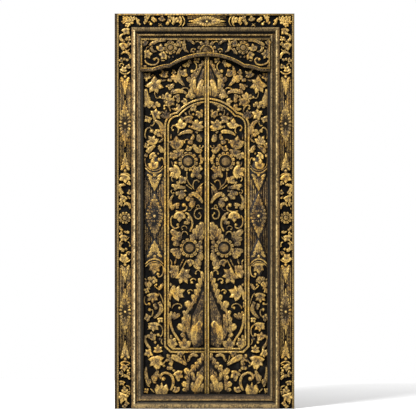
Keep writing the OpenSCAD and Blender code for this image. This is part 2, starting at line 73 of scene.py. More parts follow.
def blend(keys: tuple[tuple[float, float], ...], at: float) -> float:
    """Reads a value off a line of (place, value) keys.

    Args:
        keys: The keys, in rising order of place.
        at: The place to read.

    Returns:
        The value there, joined by straight lines.
    """
    if at <= keys[0][0]:
        return keys[0][1]
    for (low, first), (high, second) in zip(keys, keys[1:]):
        if at <= high:
            return first + (second - first) * (at - low) / (high - low)
    return keys[-1][1]


# ---- finishes ----


class Num:
    """A number socket whose arithmetic adds Math nodes."""

    def __init__(self, bench: "Bench", socket: bpy.types.NodeSocket) -> None:
        """Keeps the socket and the bench that it belongs to."""
        self.bench = bench
        self.socket = socket

    def __add__(self, other: "Num | float") -> "Num":
        """Sum."""
        return self.bench.maths("ADD", self, other)

    def __radd__(self, other: float) -> "Num":
        """Sum, the other way round."""
        return self.bench.maths("ADD", other, self)

    def __sub__(self, other: "Num | float") -> "Num":
        """Difference."""
        return self.bench.maths("SUBTRACT", self, other)

    def __rsub__(self, other: float) -> "Num":
        """Difference, the other way round."""
        return self.bench.maths("SUBTRACT", other, self)

    def __mul__(self, other: "Num | float") -> "Num":
        """Product."""
        return self.bench.maths("MULTIPLY", self, other)

    def __rmul__(self, other: float) -> "Num":
        """Product, the other way round."""
        return self.bench.maths("MULTIPLY", other, self)


class Bench:
    """The node tree of one finish."""

    def __init__(self, name: str) -> None:
        """Starts an empty material."""
        self.material = bpy.data.materials.new(name)
        self.material.use_nodes = True
        self.tree = self.material.node_tree
        self.tree.nodes.clear()
        self.place = self.add("ShaderNodeTexCoord", {}).outputs["Object"]

    def add(self, kind: str, inputs: dict, **settings) -> bpy.types.Node:
        """Adds a node, sets it up and feeds it.

        Args:
            kind: The node's type.
            inputs: Values or links, by the socket's name or place.
            settings: The node's own settings; "stops" fills a colour ramp.

        Returns:
            The node.
        """
        node = self.tree.nodes.new(kind)
        stops = settings.pop("stops", None)
        for key, value in settings.items():
            setattr(node, key, value)
        if stops:
            ramp = node.color_ramp
            while len(ramp.elements) < len(stops):
                ramp.elements.new(1.0)
            for element, (where, colour) in zip(ramp.elements, stops):
                element.position = where
                element.color = (*colour, 1.0)
        for key, value in inputs.items():
            if isinstance(value, Num):
                value = value.socket
            if isinstance(value, bpy.types.NodeSocket):
                self.tree.links.new(value, node.inputs[key])
            else:
                node.inputs[key].default_value = value
        return node

    def maths(self, operation: str, left: "Num | float", right: "Num | float") -> Num:
        """One Math node on two values."""
        made = self.add("ShaderNodeMath", {0: left, 1: right}, operation=operation)
        return Num(self, made.outputs[0])

    def span(self, value: Num, low: float, high: float) -> Num:
        """Maps low..high onto 0..1 with soft ends."""
        made = self.add("ShaderNodeMapRange",
                        {"Value": value, "From Min": low, "From Max": high},
                        interpolation_type="SMOOTHSTEP")
        return Num(self, made.outputs["Result"])

    def along(self, axis: str) -> Num:
        """One coordinate of the place on the object, in metres."""
        return Num(self, self.add("ShaderNodeSeparateXYZ", {0: self.place}).outputs[axis])

    def mottle(self, stretch: Colour, detail: float = 3.0, rough: float = 0.55) -> Num:
        """Noise whose size differs along each axis.

        Args:
            stretch: Repeats per metre along X, Y and Z.
            detail: Layers of finer noise.
            rough: How strong the finer layers are.

        Returns:
            The noise, about 0 to 1.
        """
        scaled = self.add("ShaderNodeVectorMath", {0: self.place, 1: stretch}, operation="MULTIPLY")
        noise = self.add("ShaderNodeTexNoise", {"Vector": scaled.outputs[0], "Scale": 1.0,
                                                "Detail": detail, "Roughness": rough})
        return Num(self, noise.outputs["Fac"])

    def layer(self, name: str) -> Num:
        """A value that the carving carries on its points."""
        return Num(self, self.add("ShaderNodeAttribute", {}, attribute_name=name).outputs["Fac"])

    def shades(self, value: Num, stops: tuple[tuple[float, Colour], ...]) -> bpy.types.NodeSocket:
        """A colour ramp over a value."""
        return self.add("ShaderNodeValToRGB", {"Fac": value}, stops=stops).outputs["Color"]

    def laid(self, place: Num, stops: tuple[tuple[float, Colour], ...]) -> bpy.types.NodeSocket:
        """A colour ramp over a place in millimetres, from 0 to the last stop."""
        most = stops[-1][0]
        return self.shades(place * (1 / most), tuple((where / most, chip) for where, chip in stops))

    def bare(self, share: Num, colour: bpy.types.NodeSocket, grain: Num) -> bpy.types.NodeSocket:
        """Turns a colour into bare timber by a share."""
        return self.mix(share, colour, self.shades(grain, (
            (0.3, linear(48, 38, 28)), (0.55, linear(86, 68, 48)), (0.8, linear(118, 96, 68)))))

    def mix(self, share: Num, first: "bpy.types.NodeSocket | Colour",
            second: "bpy.types.NodeSocket | Colour") -> bpy.types.NodeSocket:
        """Mixes two colours."""
        def paint(colour: "bpy.types.NodeSocket | Colour") -> "bpy.types.NodeSocket | tuple":
            """A colour as the Mix node wants it."""
            return colour if isinstance(colour, bpy.types.NodeSocket) else (*colour, 1.0)
        made = self.add("ShaderNodeMix", {0: share, 6: paint(first), 7: paint(second)},
                        data_type="RGBA")
        return made.outputs[2]

    def finish(self, colour: bpy.types.NodeSocket, rough: Num, metal: "Num | float", height: Num,
               dent: float, specular: float = 0.4) -> bpy.types.Material:
        """Closes the material with one shader.

        Args:
            colour: The base colour.
            rough: Roughness over the surface.
            metal: Metallic over the surface.
            height: Height for the bump.
            dent: Depth of the bump in metres.
            specular: Specular level, the same all over.

        Returns:
            The finished material.
        """
        bump = self.add("ShaderNodeBump", {"Height": height, "Strength": 1.0, "Distance": dent})
        shader = self.add("ShaderNodeBsdfPrincipled",
                          {"Base Color": colour, "Roughness": rough, "Metallic": metal,
                           "Normal": bump.outputs[0], "Specular IOR Level": specular})
        self.add("ShaderNodeOutputMaterial", {"Surface": shader.outputs[0]})
        return self.material


CHARCOAL = linear(9, 9, 10)
SOOT = linear(8, 7, 6)
UMBER = linear(54, 41, 25)
OLIVE = linear(104, 84, 50)
OLD_GOLD = linear(157, 128, 66)
BRIGHT_GOLD = linear(192, 157, 80)
PALE_GOLD = linear(222, 188, 114)


@dataclass(frozen=True)
class GiltFinish:
    """Worn gold paint over dark wood, by how raised each point of the carving is, less the painted
    shade in its creases.
    """

    name: str
    lift: float = 0.0
    dust: float = 0.5

    def make(self) -> bpy.types.Material:
        """Builds the material."""
        bench = Bench(self.name)
        # The carving's gilding value: gold by how raised a point is, with painted shade at lobe
        # sides, hollows and notches.
        raised = bench.layer("gilt")
        tone = bench.layer("tone")
        patches = bench.mottle((38.0, 38.0, 30.0), 2.0)
        wear = bench.mottle((190.0, 190.0, 120.0), 4.0, 0.65)
        strokes = bench.mottle((620.0, 620.0, 70.0), 3.0, 0.6)
        haze = bench.mottle((22.0, 22.0, 20.0), 3.0, 0.6)
        amber = bench.mottle((16.0, 24.0, 13.0), 3.0, 0.6)
        shine = (raised * (tone * 0.5 + 0.5) + (patches - 0.5) * 0.8 + (wear - 0.5) * 1.75
                 + (strokes - 0.5) * 1.1 + self.lift)
        gilded = bench.shades(shine, (
            (0.0, SOOT), (0.2, UMBER), (0.42, OLIVE), (0.64, OLD_GOLD), (0.88, BRIGHT_GOLD),
            (1.0, PALE_GOLD)))
        dusty = bench.shades(shine, (
            (0.0, SOOT), (0.25, linear(48, 40, 30)), (0.55, linear(112, 92, 62)),
            (1.0, linear(190, 163, 112))))
        warm = bench.shades(shine, (
            (0.0, SOOT), (0.2, linear(52, 37, 20)), (0.45, linear(108, 80, 38)),
            (0.7, linear(172, 130, 54)), (1.0, linear(214, 172, 78))))
        gilded = bench.mix(bench.span(amber, 0.48, 0.64) * 0.75, gilded, warm)
        colour = bench.mix(bench.span(haze, 0.5, 0.66) * self.dust, gilded, dusty)
        gold = bench.span(shine, 0.3, 0.75)
        rough = 0.6 - gold * 0.2 + (wear - 0.5) * 0.2
        return bench.finish(colour, rough, gold * 0.3, wear * 0.6 + strokes * 0.4, 0.0009, 0.2)


@dataclass(frozen=True)
class CrownFinish:
    """The calm, evenly worn gold of a flower's round crown."""

    name: str

    def make(self) -> bpy.types.Material:
        """Builds the material."""
        bench = Bench(self.name)
        patches = bench.mottle((60.0, 60.0, 60.0), 3.0)
        wear = bench.mottle((260.0, 260.0, 260.0), 4.0, 0.6)
        shine = bench.layer("gilt") * 0.7 + (patches - 0.5) * 0.9 + (wear - 0.5) * 0.9
        colour = bench.shades(shine, (
            (0.05, SOOT), (0.3, linear(62, 49, 28)), (0.56, linear(104, 82, 46)),
            (0.8, linear(158, 126, 70))))
        return bench.finish(colour, 0.55 + (wear - 0.5) * 0.2, shine * 0.2, wear, 0.0006, 0.2)


@dataclass(frozen=True)
class BoardFinish:
    """A carved board's own surface, by its depth behind the front plane.

    The stops give the colour at each depth in millimetres; behind "back" it is bare timber.
    """

    name: str
    stops: tuple[tuple[float, Colour], ...]
    back: float

    def make(self) -> bpy.types.Material:
        """Builds the material."""
        bench = Bench(self.name)
        depth = bench.along("Y") * PER_METRE + FRONT_DEPTH
        wear = bench.mottle((170.0, 170.0, 90.0), 4.0, 0.65)
        strokes = bench.mottle((600.0, 600.0, 45.0), 3.0, 0.6)
        smudge = bench.mottle((30.0, 30.0, 24.0), 3.0, 0.6)
        colour = bench.laid(depth, self.stops)
        darker = bench.span(wear * 0.6 + strokes * 0.4, 0.38, 0.6)
        colour = bench.mix(1.0 - (1.0 - darker) * 0.7, SOOT, colour)
        colour = bench.mix(bench.span(smudge, 0.52, 0.75) * 0.07, colour, linear(96, 96, 92))
        colour = bench.bare(bench.span(depth, self.back - 0.6, self.back + 0.6), colour, strokes)
        return bench.finish(colour, 0.75 + (wear - 0.5) * 0.25, 0.0, wear * 0.5 + strokes * 0.5,
                            0.0008, 0.03)


class Edge(Enum):
    """Which way a moulding's profile runs."""

    ACROSS_X = "X"
    UP_Z = "Z"


@dataclass(frozen=True)
class MouldingGiltAndPaintedLight:
    """A run moulding: gold paint with painted highlights on its crests, painted shade in its
    hollows and a painted shadow along its inner edge, and streaks along its length.

    Args:
        name: The material's name.
        edge: The axis that crosses the profile.
        start: Place of the profile's outer edge in millimetres, from the origin.
        sense: 1 or -1, the way from the outer edge inwards.
        stops: Colours by the distance inwards in millimetres, with the profile's light and shade
            painted in.
    """

    name: str
    edge: Edge
    start: float
    sense: int
    stops: tuple[tuple[float, Colour], ...]

    def make(self) -> bpy.types.Material:
        """Builds the material."""
        bench = Bench(self.name)
        inward = (bench.along(self.edge.value) * PER_METRE - self.start) * float(self.sense)
        runs_up = self.edge is Edge.ACROSS_X
        fine, slow = (520.0, 26.0) if runs_up else (26.0, 520.0)
        streak = bench.mottle((fine, fine, slow) if runs_up else (fine, slow, slow), 4.0, 0.65)
        patch = bench.mottle((26.0, 26.0, 18.0), 3.0, 0.6)
        chips = bench.mottle((140.0, 140.0, 110.0), 4.0, 0.65)
        wobble = inward + (chips - 0.5) * 5.0
        # The profile's colours, with painted highlights on the crests and painted shade in the
        # hollows.
        colour = bench.laid(wobble, self.stops)
        dirt = bench.span(streak * 0.25 + patch * 0.25 + chips * 0.5, 0.45, 0.55)
        colour = bench.mix((1.0 - dirt) * 0.78, colour, linear(30, 25, 18))
        depth = bench.along("Y") * PER_METRE + FRONT_DEPTH
        colour = bench.bare(bench.span(depth, *MOULDING_BACK), colour, streak)
        return bench.finish(colour, 0.5 + (chips - 0.5) * 0.3, 0.1, streak * 0.5 + chips * 0.5,
                            0.0007, 0.2)


@dataclass(frozen=True)
class TimberFinish:
    """Plain weathered wood with grain along one axis."""

    name: str
    stretch: Colour
    dark: Colour
    middle: Colour
    light: Colour

    def make(self) -> bpy.types.Material:
        """Builds the material."""
        bench = Bench(self.name)
        grain = bench.mottle(self.stretch, 5.0, 0.62)
        wide = bench.mottle(tuple(share * 0.16 for share in self.stretch), 2.0, 0.5)
        pores = bench.mottle(tuple(share * 4.0 for share in self.stretch), 2.0, 0.6)
        mixed = grain * 0.6 + wide * 0.4
        colour = bench.shades(mixed, ((0.34, self.dark), (0.5, self.middle), (0.66, self.light)))
        colour = bench.mix(bench.span(pores, 0.62, 0.72) * 0.6, colour, self.dark)
        return bench.finish(colour, 0.66 + (grain - 0.5) * 0.3, 0.0, grain * 0.5 + pores * 0.5,
                            0.0007, 0.3)


@dataclass(frozen=True)
class FloorFinish:
    """The studio's pale floor."""

    name: str = "pale_floor"

    def make(self) -> bpy.types.Material:
        """Builds the material."""
        bench = Bench(self.name)
        haze = bench.mottle((3.0, 3.0, 3.0), 2.0)
        colour = bench.mix(haze, linear(252, 252, 252), linear(248, 248, 248))
        return bench.finish(colour, 0.8 + haze * 0.05, 0.0, haze, 0.0001, 0.1)


# ---- carving ----


class Outline(Enum):
    """Half width of a carved lobe along its length, as (place, share) keys."""

    ROUND = ((0.0, 0.5), (0.25, 0.82), (0.6, 1.0), (0.85, 0.86), (1.0, 0.42))
    POINTED = ((0.0, 0.5), (0.3, 1.0), (0.6, 0.82), (0.85, 0.4), (1.0, 0.06))
    FROND = ((0.0, 0.3), (0.3, 0.7), (0.65, 1.0), (0.9, 0.8), (1.0, 0.35))
    STEM = ((0.0, 0.75), (0.2, 1.0), (0.8, 0.9), (1.0, 0.6))
    SICKLE = ((0.0, 0.2), (0.3, 0.75), (0.5, 1.0), (0.75, 0.7), (1.0, 0.12))
    REED = ((0.0, 1.0), (1.0, 1.0))


@dataclass(frozen=True)
class Field:
    """One carved field: its depths, and how a drawing of its left half is placed on it.

    Args:
        root: Depth at which motifs are rooted.
        crest: Depth of their highest points.
        middle: World X of the drawing's zero line.
        shift: How far the drawing moves towards that line.
        squeeze: How much narrower it gets outside the reeded panel.
        growth: How much larger its leaves are carved than drawn.
    """

    root: float
    crest: float
    middle: float = MEET_X
    shift: float = 0.0
    squeeze: float = 1.0
    growth: float = 1.16

    def across(self, x: float, side: int) -> float:
        """World X of a drawn place, on the left (-1) or the right (1)."""
        x += self.shift
        if x < -PANEL_EDGE:
            x = (x + PANEL_EDGE) * self.squeeze - PANEL_EDGE
        return self.middle - side * x


PANEL_EDGE = 240.0
BOARD_EDGE, BOARD_FOOT, BOARD_HEAD = 499.6, 0.4, 2199.6
LEAF_FIELDS = {-1: Field(56.0, 41.5), 1: Field(56.0, 41.5, squeeze=0.94)}
HEADER_FIELD = Field(22.0, 9.0, growth=1.15)
BAND_FIELD = Field(17.6, 3.0, OPENING_X, 6.0, growth=1.32)
TOP_FIELD = Field(17.6, 3.0, growth=1.25)

# Columns of a strip's section: place across, height and gilding. The gilding falls off towards the
# sides as painted shade between touching lobes.
WIDE_COLUMNS = ((-1.0, 0.0, 0.0), (-0.9, 0.72, 0.55), (-0.55, 0.96, 1.0), (0.0, 1.0, 0.85),
                (0.55, 0.96, 1.0), (0.9, 0.72, 0.55), (1.0, 0.0, 0.0))
SLIM_COLUMNS = ((-1.0, 0.0, 0.0), (-0.78, 0.78, 0.7), (0.0, 1.0, 1.0), (0.78, 0.78, 0.7),
                (1.0, 0.0, 0.0))
SLIM_WIDTH = 13.0
END_GLOW = 0.05
HOLLOW_DROP, HOLLOW_PAINTED_SHADE, HOLLOW_FADE = 0.4, 0.75, 0.4
STEEPEST_MITRE = 0.5
BURIED = 0.8
LARGE_BOSS, LARGE_BOSS_CUTS, SMALL_BOSS_CUTS = 15, (28, 12), (14, 8)
CURVE_STEPS = 4
HOOP_SWEEP, HOOP_STEPS = 368.0, 14
PETAL_WIDEST_IN = 7
CROWN_HOLLOW, CROWN_HOOP, CROWN_HOOP_WIDTH = 1.12, 1.18, 0.09
LOBE_CUTS = 8
LEAF_REACH = 0.58
LEAF_HEIGHT_CUTS = 10
LEAF_TONES, LEAF_TIPS, LEAF_LOWEST = (-0.26, 0.16), (0.9, 1.06), 0.9
OUTER_TIP_LOSS = 0.14
VALLEY_DROP, VALLEY_PAINTED_SHADE = 0.25, 0.45
LEAF_EDGE = ((0.0, 1.0), (0.25, 0.84), (0.5, 0.77), (0.75, 0.71), (1.0, 0.64))
LEAF_BACK = ((0.0, 1.0), (0.25, 0.76), (0.5, 0.62), (1.0, 0.46))
LEAF_DOME = ((0.0, 0.0), (0.31, 0.74), (0.59, 0.96), (0.81, 1.0), (0.95, 0.9), (1.0, 0.84))
LEAF_GILT = ((0.0, 0.04), (0.31, 0.62), (0.59, 1.0), (0.81, 0.88), (0.95, 0.6), (1.0, 0.34))
LOBE_ROWS = (0.0, 0.05, 0.25, 0.45, 0.65, 0.82, 0.95, 1.0)
LOBE_LIFT = ((0.0, 0.72), (0.5, 0.93), (0.85, 1.0), (1.0, 0.85))
LOBE_TONES, STEM_TONES, LOBE_LOWEST = 0.14, 0.1, 0.92


def rounded(points: list[Point], steps: int) -> list[Vector]:
    """Draws a smooth line through points.

    Args:
        points: The points that it passes, two or more.
        steps: Pieces between one point and the next.

    Returns:
        The points of the smooth line.
    """
    way = [Vector(p) for p in points]
    way = [way[0] * 2 - way[1], *way, way[-1] * 2 - way[-2]]
    line = []
    for first, second, third, fourth in zip(way, way[1:], way[2:], way[3:]):
        for step in range(steps):
            t = step / steps
            line.append(0.5 * (2 * second + (third - first) * t
                               + (2 * first - 5 * second + 4 * third - fourth) * t * t
                               + (3 * second - first - 3 * third + fourth) * t * t * t))
    line.append(way[-2])
    return line


def heading_to(angle: float) -> Vector:
    """The unit vector at an angle in degrees, 0 towards the meeting line and 90 up."""
    return Vector((math.cos(math.radians(angle)), math.sin(math.radians(angle))))


class Carving:
    """One carved piece: raised lobes, stems and bosses on a board.

    Args:
        name: The piece's name.
        field: The field that it stands on.
        side: -1 for the left half and 1 for the right.
        seed: Start of the small differences between lobes.
    """

    def __init__(self, name: str, field: Field, side: int, seed: int) -> None:
        """Starts an empty piece."""
        self.name = name
        self.field = field
        self.side = side
        self.chance = random.Random(seed)
        self.bm = bmesh.new()
        self.gilt = self.bm.verts.layers.float.new("gilt")
        self.tone = self.bm.verts.layers.float.new("tone")

    def put(self, vert: bmesh.types.BMVert, x: float, z: float, depth: float, gilt: float,
            tone: float) -> None:
        """Moves one point to its place on the board, inside the surround's edges, and gilds it.

        Args:
            vert: The point.
            x: Its drawn place.
            z: Its height.
            depth: Its depth behind the front plane.
            gilt: How gilded it is, 0 to 1, with painted shade in the creases taken off.
            tone: 0 for dull gold, 1 for bright.
        """
        across = max(-BOARD_EDGE, min(BOARD_EDGE, self.field.across(x, self.side)))
        height = max(BOARD_FOOT, min(BOARD_HEAD, z))
        vert.co = Vector((across * MM, (depth - FRONT_DEPTH) * MM, height * MM))
        vert[self.gilt] = gilt
        vert[self.tone] = tone

    def strip(self, line: list[Vector], halves: list[float], lifts: list[float], shine: list[float],
              tone: float, wide: bool, hollow: float = 0.0) -> None:
        """Lays one raised strip along a line.

        Args:
            line: Points of its middle line.
            halves: Half width at each point.
            lifts: Height at each point, 0 to 1.
            shine: Gilding at each point, 0 to 1.
            tone: 0 for dull gold, 1 for bright.
            wide: Whether its section gets the finer columns.
            hollow: Depth of the hollow along its middle, 0 to 1, and of the painted shade that dims
                the gilding there.
        """
        columns = WIDE_COLUMNS if wide else SLIM_COLUMNS
        rows, across = len(line) - 1, len(columns) - 1
        made = bmesh.ops.create_grid(self.bm, x_segments=rows, y_segments=across, size=1.0)
        normals = []
        for index, point in enumerate(line):
            before = (point - line[index - 1] if index else line[1] - point).normalized()
            ahead = line[index + 1] - point if index < rows else point - line[index - 1]
            tangent = (before + ahead.normalized()).normalized()
            stretch = 1.0 / max(STEEPEST_MITRE, tangent.dot(before))
            normals.append(Vector((-tangent.y, tangent.x)) * stretch)
        rise = self.field.root - self.field.crest
        for vert in made["verts"]:
            row = round((vert.co.x + 1) / 2 * rows)
            place, height, light = columns[round((vert.co.y + 1) / 2 * across)]
            end = row in (0, rows)
            spot = line[row] + normals[row] * (halves[row] * place)
            # Painted shade: the gilding dims along the middle hollow.
            dip = hollow * (1 - abs(place)) * (1 - HOLLOW_FADE * row / rows)
            up = 0.0 if end else lifts[row] * height * (1 - dip * HOLLOW_DROP)
            glow = END_GLOW if end else shine[row] * light * (1 - dip * HOLLOW_PAINTED_SHADE)
            self.put(vert, spot.x, spot.y, self.field.root - rise * up, glow, tone)

    def lobe(self, foot: Point, tip: Point, width: float, bend: float = 0.0,
             outline: Outline = Outline.ROUND, tone: float = 0.6, lift: float = 1.0,
             hollow: float = 0.35, foot_shine: float = 0.45) -> None:
        """Carves one lobe from its foot to its tip.

        Args:
            foot: Where it starts.
            tip: Where it ends.
            width: Its greatest width.
            bend: How far its middle bows to the left of the way, as a share of its length.
            outline: Its outline.
            tone: 0 for dull gold, 1 for bright.
            lift: Its height, 0 to 1.
            hollow: Depth of the hollow along its middle, and of the painted shade in it.
            foot_shine: How gilded its foot is.
        """
        start, end = Vector(foot), Vector(tip)
        way = end - start
        bow = Vector((-way.y, way.x)) * bend
        tone += self.chance.uniform(-LOBE_TONES, LOBE_TONES)
        lift *= self.chance.uniform(LOBE_LOWEST, 1.0)
        line = [start + way * t + bow * (4 * t * (1 - t)) for t in LOBE_ROWS]
        gilding = ((0.0, foot_shine), (0.45, 0.5 + 0.75 * foot_shine), (1.0, 1.0))
        self.strip(line, [width / 2 * blend(outline.value, t) for t in LOBE_ROWS],
                   [lift * blend(LOBE_LIFT, t) for t in LOBE_ROWS],
                   [blend(gilding, t) for t in LOBE_ROWS], tone, width > SLIM_WIDTH, hollow)

    def lobes(self, *specs: tuple[float, ...]) -> None:
        """Carves lobes: foot x and z, tip x and z, width, tone and, where it bows, the bend."""
        for foot_x, foot_z, tip_x, tip_z, width, tone, *bend in specs:
            self.lobe((foot_x, foot_z), (tip_x, tip_z), width, *bend, tone=tone)

    def stem(self, points: list[Point], width: float, tone: float = 0.5, lift: float = 0.8,
             outline: Outline = Outline.STEM, hollow: float = 0.0, shine: float = 0.95) -> None:
        """Carves a stem or a long leaf through points.

        Args:
            points: Points of its middle line.
            width: Its greatest width.
            tone: 0 for dull gold, 1 for bright.
            lift: Its height, 0 to 1.
            outline: Its outline.
            hollow: Depth of the hollow along its middle, and of the painted shade in it.
            shine: How gilded it is.
        """
        line = rounded(points, CURVE_STEPS)
        count = len(line) - 1
        tone += self.chance.uniform(-STEM_TONES, STEM_TONES)
        reach = [index / count for index in range(count + 1)]
        self.strip(line, [width / 2 * blend(outline.value, t) for t in reach], [lift] * (count + 1),
                   [shine] * (count + 1), tone, width > SLIM_WIDTH, hollow)

    def run(self, points: list[Point], width: float, tone: float = 0.5, lift: float = 1.0,
            shine: float = 1.0) -> None:
        """Lays a straight-sided bead along the corners given."""
        line = [Vector(p) for p in points]
        first = (line[1] - line[0]).normalized() * 0.5
        last = (line[-1] - line[-2]).normalized() * 0.5
        line = [line[0], line[0] + first, *line[1:-1], line[-1] - last, line[-1]]
        count = len(line)
        self.strip(line, [width / 2] * count, [lift] * count, [shine] * count, tone, True)

    def pearls(self, x: float, first: float, last: float, width: float, tone: float) -> None:
        """Lays an upright bead that is cut into pearls.

        Args:
            x: Place of its middle.
            first: Height of its foot.
            last: Height of its head.
            width: Its width.
            tone: 0 for dull gold, 1 for bright.
        """
        count = 2 * round((last - first) / width)
        line = [Vector((x, first + (last - first) * step / count)) for step in range(count + 1)]
        crest = [step % 2 for step in range(count + 1)]
        self.strip(line, [width * (0.36 + 0.14 * on) for on in crest],
                   [0.5 + 0.5 * on for on in crest], [0.25 + 0.75 * on for on in crest], tone,
                   False)

    def boss(self, x: float, z: float, radius: float, tone: float = 0.6, lift: float = 1.0,
             shine: float = 1.0, rim: float = 0.0) -> None:
        """Carves a round boss.

        Args:
            x: Place of its middle.
            z: Height of its middle.
            radius: Its radius.
            tone: 0 for dull gold, 1 for bright.
            lift: Its height, 0 to 1.
            shine: Gilding on its crown.
            rim: Gilding near its edge.
        """
        around, up = LARGE_BOSS_CUTS if radius > LARGE_BOSS else SMALL_BOSS_CUTS
        made = bmesh.ops.create_uvsphere(self.bm, u_segments=around, v_segments=up, radius=1.0)
        rise = (self.field.root - self.field.crest) * lift
        for vert in made["verts"]:
            level, east, north = vert.co.z, vert.co.x, vert.co.y
            depth = self.field.root - (rise if level > 0 else BURIED) * level
            glow = blend(((0.0, rim), (0.35, 0.5 * (rim + shine)), (0.8, shine)), level)
            self.put(vert, x + east * radius, z + north * radius, depth, glow, tone)

    def leaf(self, x: float, z: float, size: float, heading: float, lobes: int, fan: float,
             tone: float) -> None:
        """Carves a palmate leaf about its middle.

        Args:
            x: Place of its middle.
            z: Height of its middle.
            size: Its length.
            heading: The way it points, in degrees.
            lobes: How many lobes it has.
            fan: Angle between its outer lobes.
            tone: 0 for dull gold, 1 for bright.
        """
        size *= self.field.growth
        tone += self.chance.uniform(*LEAF_TONES)
        back = size * max(0.05, 0.4 - fan / 620)
        foot = Vector((x, z)) - heading_to(heading) * back
        reach = size * LEAF_REACH + back
        rise = (self.field.root - self.field.crest) * self.chance.uniform(LEAF_LOWEST, 1.0)
        inside, behind = LOBE_CUTS * (lobes - 1), LOBE_CUTS
        around = inside + behind
        tips = [self.chance.uniform(*LEAF_TIPS)
                * (1.0 - OUTER_TIP_LOSS * abs(2 * item / (lobes - 1) - 1)) for item in range(lobes)]
        made = bmesh.ops.create_uvsphere(self.bm, u_segments=around,
                                         v_segments=LEAF_HEIGHT_CUTS, radius=1.0)
        for vert in made["verts"]:
            level, flat = max(0.0, vert.co.z), min(1.0, vert.co.xy.length)
            cut = round(math.atan2(vert.co.y, vert.co.x) / math.tau * around) % around
            if cut <= inside:
                angle = fan * (cut / inside - 0.5)
                tip = round(cut / LOBE_CUTS)
                notch = abs(cut / LOBE_CUTS - tip) * 2
                edge = blend(LEAF_EDGE, notch) * tips[min(tip, lobes - 1)]
            else:
                share = (cut - inside) / behind
                angle = fan / 2 + (360 - fan) * share
                notch = 0.0
                edge = blend(LEAF_BACK, 1 - abs(2 * share - 1)) * tips[0 if share > 0.5 else -1]
            spot = foot + heading_to(heading + angle) * reach * edge * flat
            # Painted shade in the notches between the leaf's lobes.
            valley = notch * notch * min(1.0, flat * 1.8)
            up = blend(LEAF_DOME, level) * (1 - VALLEY_DROP * valley)
            glow = blend(LEAF_GILT, level) * (1 - VALLEY_PAINTED_SHADE * valley)
            depth = self.field.root - (rise * up if vert.co.z > 0 else BURIED * vert.co.z)
            self.put(vert, spot.x, spot.y, depth, glow, tone)

    def leaves(self, *specs: tuple[float, ...]) -> None:
        """Carves leaves, each given as leaf() takes it."""
        for spec in specs:
            self.leaf(*spec)

    def frond(self, spine: list[Point], width: float,
              lobes: list[tuple[float, float, float]] | tuple[()] = (),
              tone: float = 0.6, outline: Outline = Outline.FROND) -> None:
        """Carves a long curved leaf with round lobes along its side.

        Args:
            spine: Points of its middle line.
            width: Its greatest width.
            lobes: Middle and radius of each lobe.
            tone: 0 for dull gold, 1 for bright.
            outline: The outline of its body.
        """
        line = rounded(spine, CURVE_STEPS)
        for x, z, radius in lobes:
            middle = Vector((x, z))
            near = min(line, key=lambda point: (point - middle).length)
            way = middle - near
            reach = max(way.length, 1.0)
            foot = middle - way * min(1.0, (radius * 1.2) / reach)
            self.lobe(foot, middle + way / reach * radius * 0.95, radius * 2.2, tone=tone + 0.1,
                      lift=0.95, foot_shine=0.35)
        self.stem(spine, width * 1.15, tone, 1.0, outline, 0.4)

    def curl(self, points: list[Point], width: float, ball: float, tone: float = 0.5) -> None:
        """Carves a tendril that ends in a ball at its last point."""
        self.stem(points, width, tone, 0.82, Outline.STEM)
        self.boss(points[-1][0], points[-1][1], ball, tone + 0.1, 0.9, 1.0, 0.4)

    def ring(self, x: float, z: float, inner: float, outer: float, count: int, width: float,
             start: float = 90.0, sweep: float = 360.0, tone: float = 0.6,
             lift: float = 0.9) -> None:
        """Carves a ring of petals, or part of one, round a middle.

        Args:
            x: Place of its middle.
            z: Height of its middle.
            inner: Radius at the petals' feet.
            outer: Radius at their tips.
            count: How many petals it has.
            width: Each petal's width.
            start: Angle of the first petal, in degrees.
            sweep: Angle from the first petal to the last, or 360 for a whole ring.
            tone: 0 for dull gold, 1 for bright.
            lift: Its height, 0 to 1.
        """
        whole = sweep >= 360.0
        for item in range(count):
            angle = start + sweep * item / (count if whole else count - 1)
            way = heading_to(angle)
            middle = Vector((x, z))
            self.lobe(middle + way * inner, middle + way * outer, width, tone=tone, lift=lift)

    def hoop(self, x: float, z: float, radius: float, width: float, tone: float,
             lift: float) -> None:
        """Carves a plain ring, whose end laps its start."""
        self.stem(arc_points(x, z, radius, 0.0, HOOP_SWEEP, HOOP_STEPS), width, tone, lift,
                  Outline.REED)

    def flower(self, x: float, z: float, radius: float, crown: float, petals: int,
               tone: float) -> None:
        """Carves a flower's petals, with a dark hollow ring for its crown to stand in.

        Args:
            x: Place of its middle.
            z: Height of its middle.
            radius: Radius over its petals.
            crown: Radius of its crown.
            petals: How many petals it has.
            tone: 0 for dull gold, 1 for bright.
        """
        width = math.tau * (radius - PETAL_WIDEST_IN) / petals
        half_step = 180 / petals
        self.ring(x, z, crown, radius, petals, width * 0.98, 90 + half_step, tone=tone, lift=0.88)
        self.boss(x, z, crown * CROWN_HOLLOW, -0.5, 0.9, 0.02)
        self.hoop(x, z, crown * CROWN_HOOP, radius * CROWN_HOOP_WIDTH, tone + 0.1, 0.97)

    def piece(self, material: bpy.types.Material, body: str,
              slot: str = "carved_gilt_wood") -> bpy.types.Object:
        """Closes the shells, makes the object and gives it to its body.

        Args:
            material: Its finish.
            body: The body that it rides on.
            slot: A material slot's name; not used.

        Returns:
            The finished object.
        """
        bmesh.ops.holes_fill(self.bm, edges=[e for e in self.bm.edges if e.is_boundary], sides=0)
        bmesh.ops.recalc_face_normals(self.bm, faces=self.bm.faces[:])
        for face in self.bm.faces:
            face.smooth = len(face.verts) <= 4
        mesh = bpy.data.meshes.new(self.name)
        self.bm.to_mesh(mesh)
        self.bm.free()
        mesh.materials.append(material)
        made = bpy.data.objects.new(self.name, mesh)
        bpy.context.scene.collection.objects.link(made)
        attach(made, body)
        log.info("%s: %d faces", self.name, len(mesh.polygons))
        return made


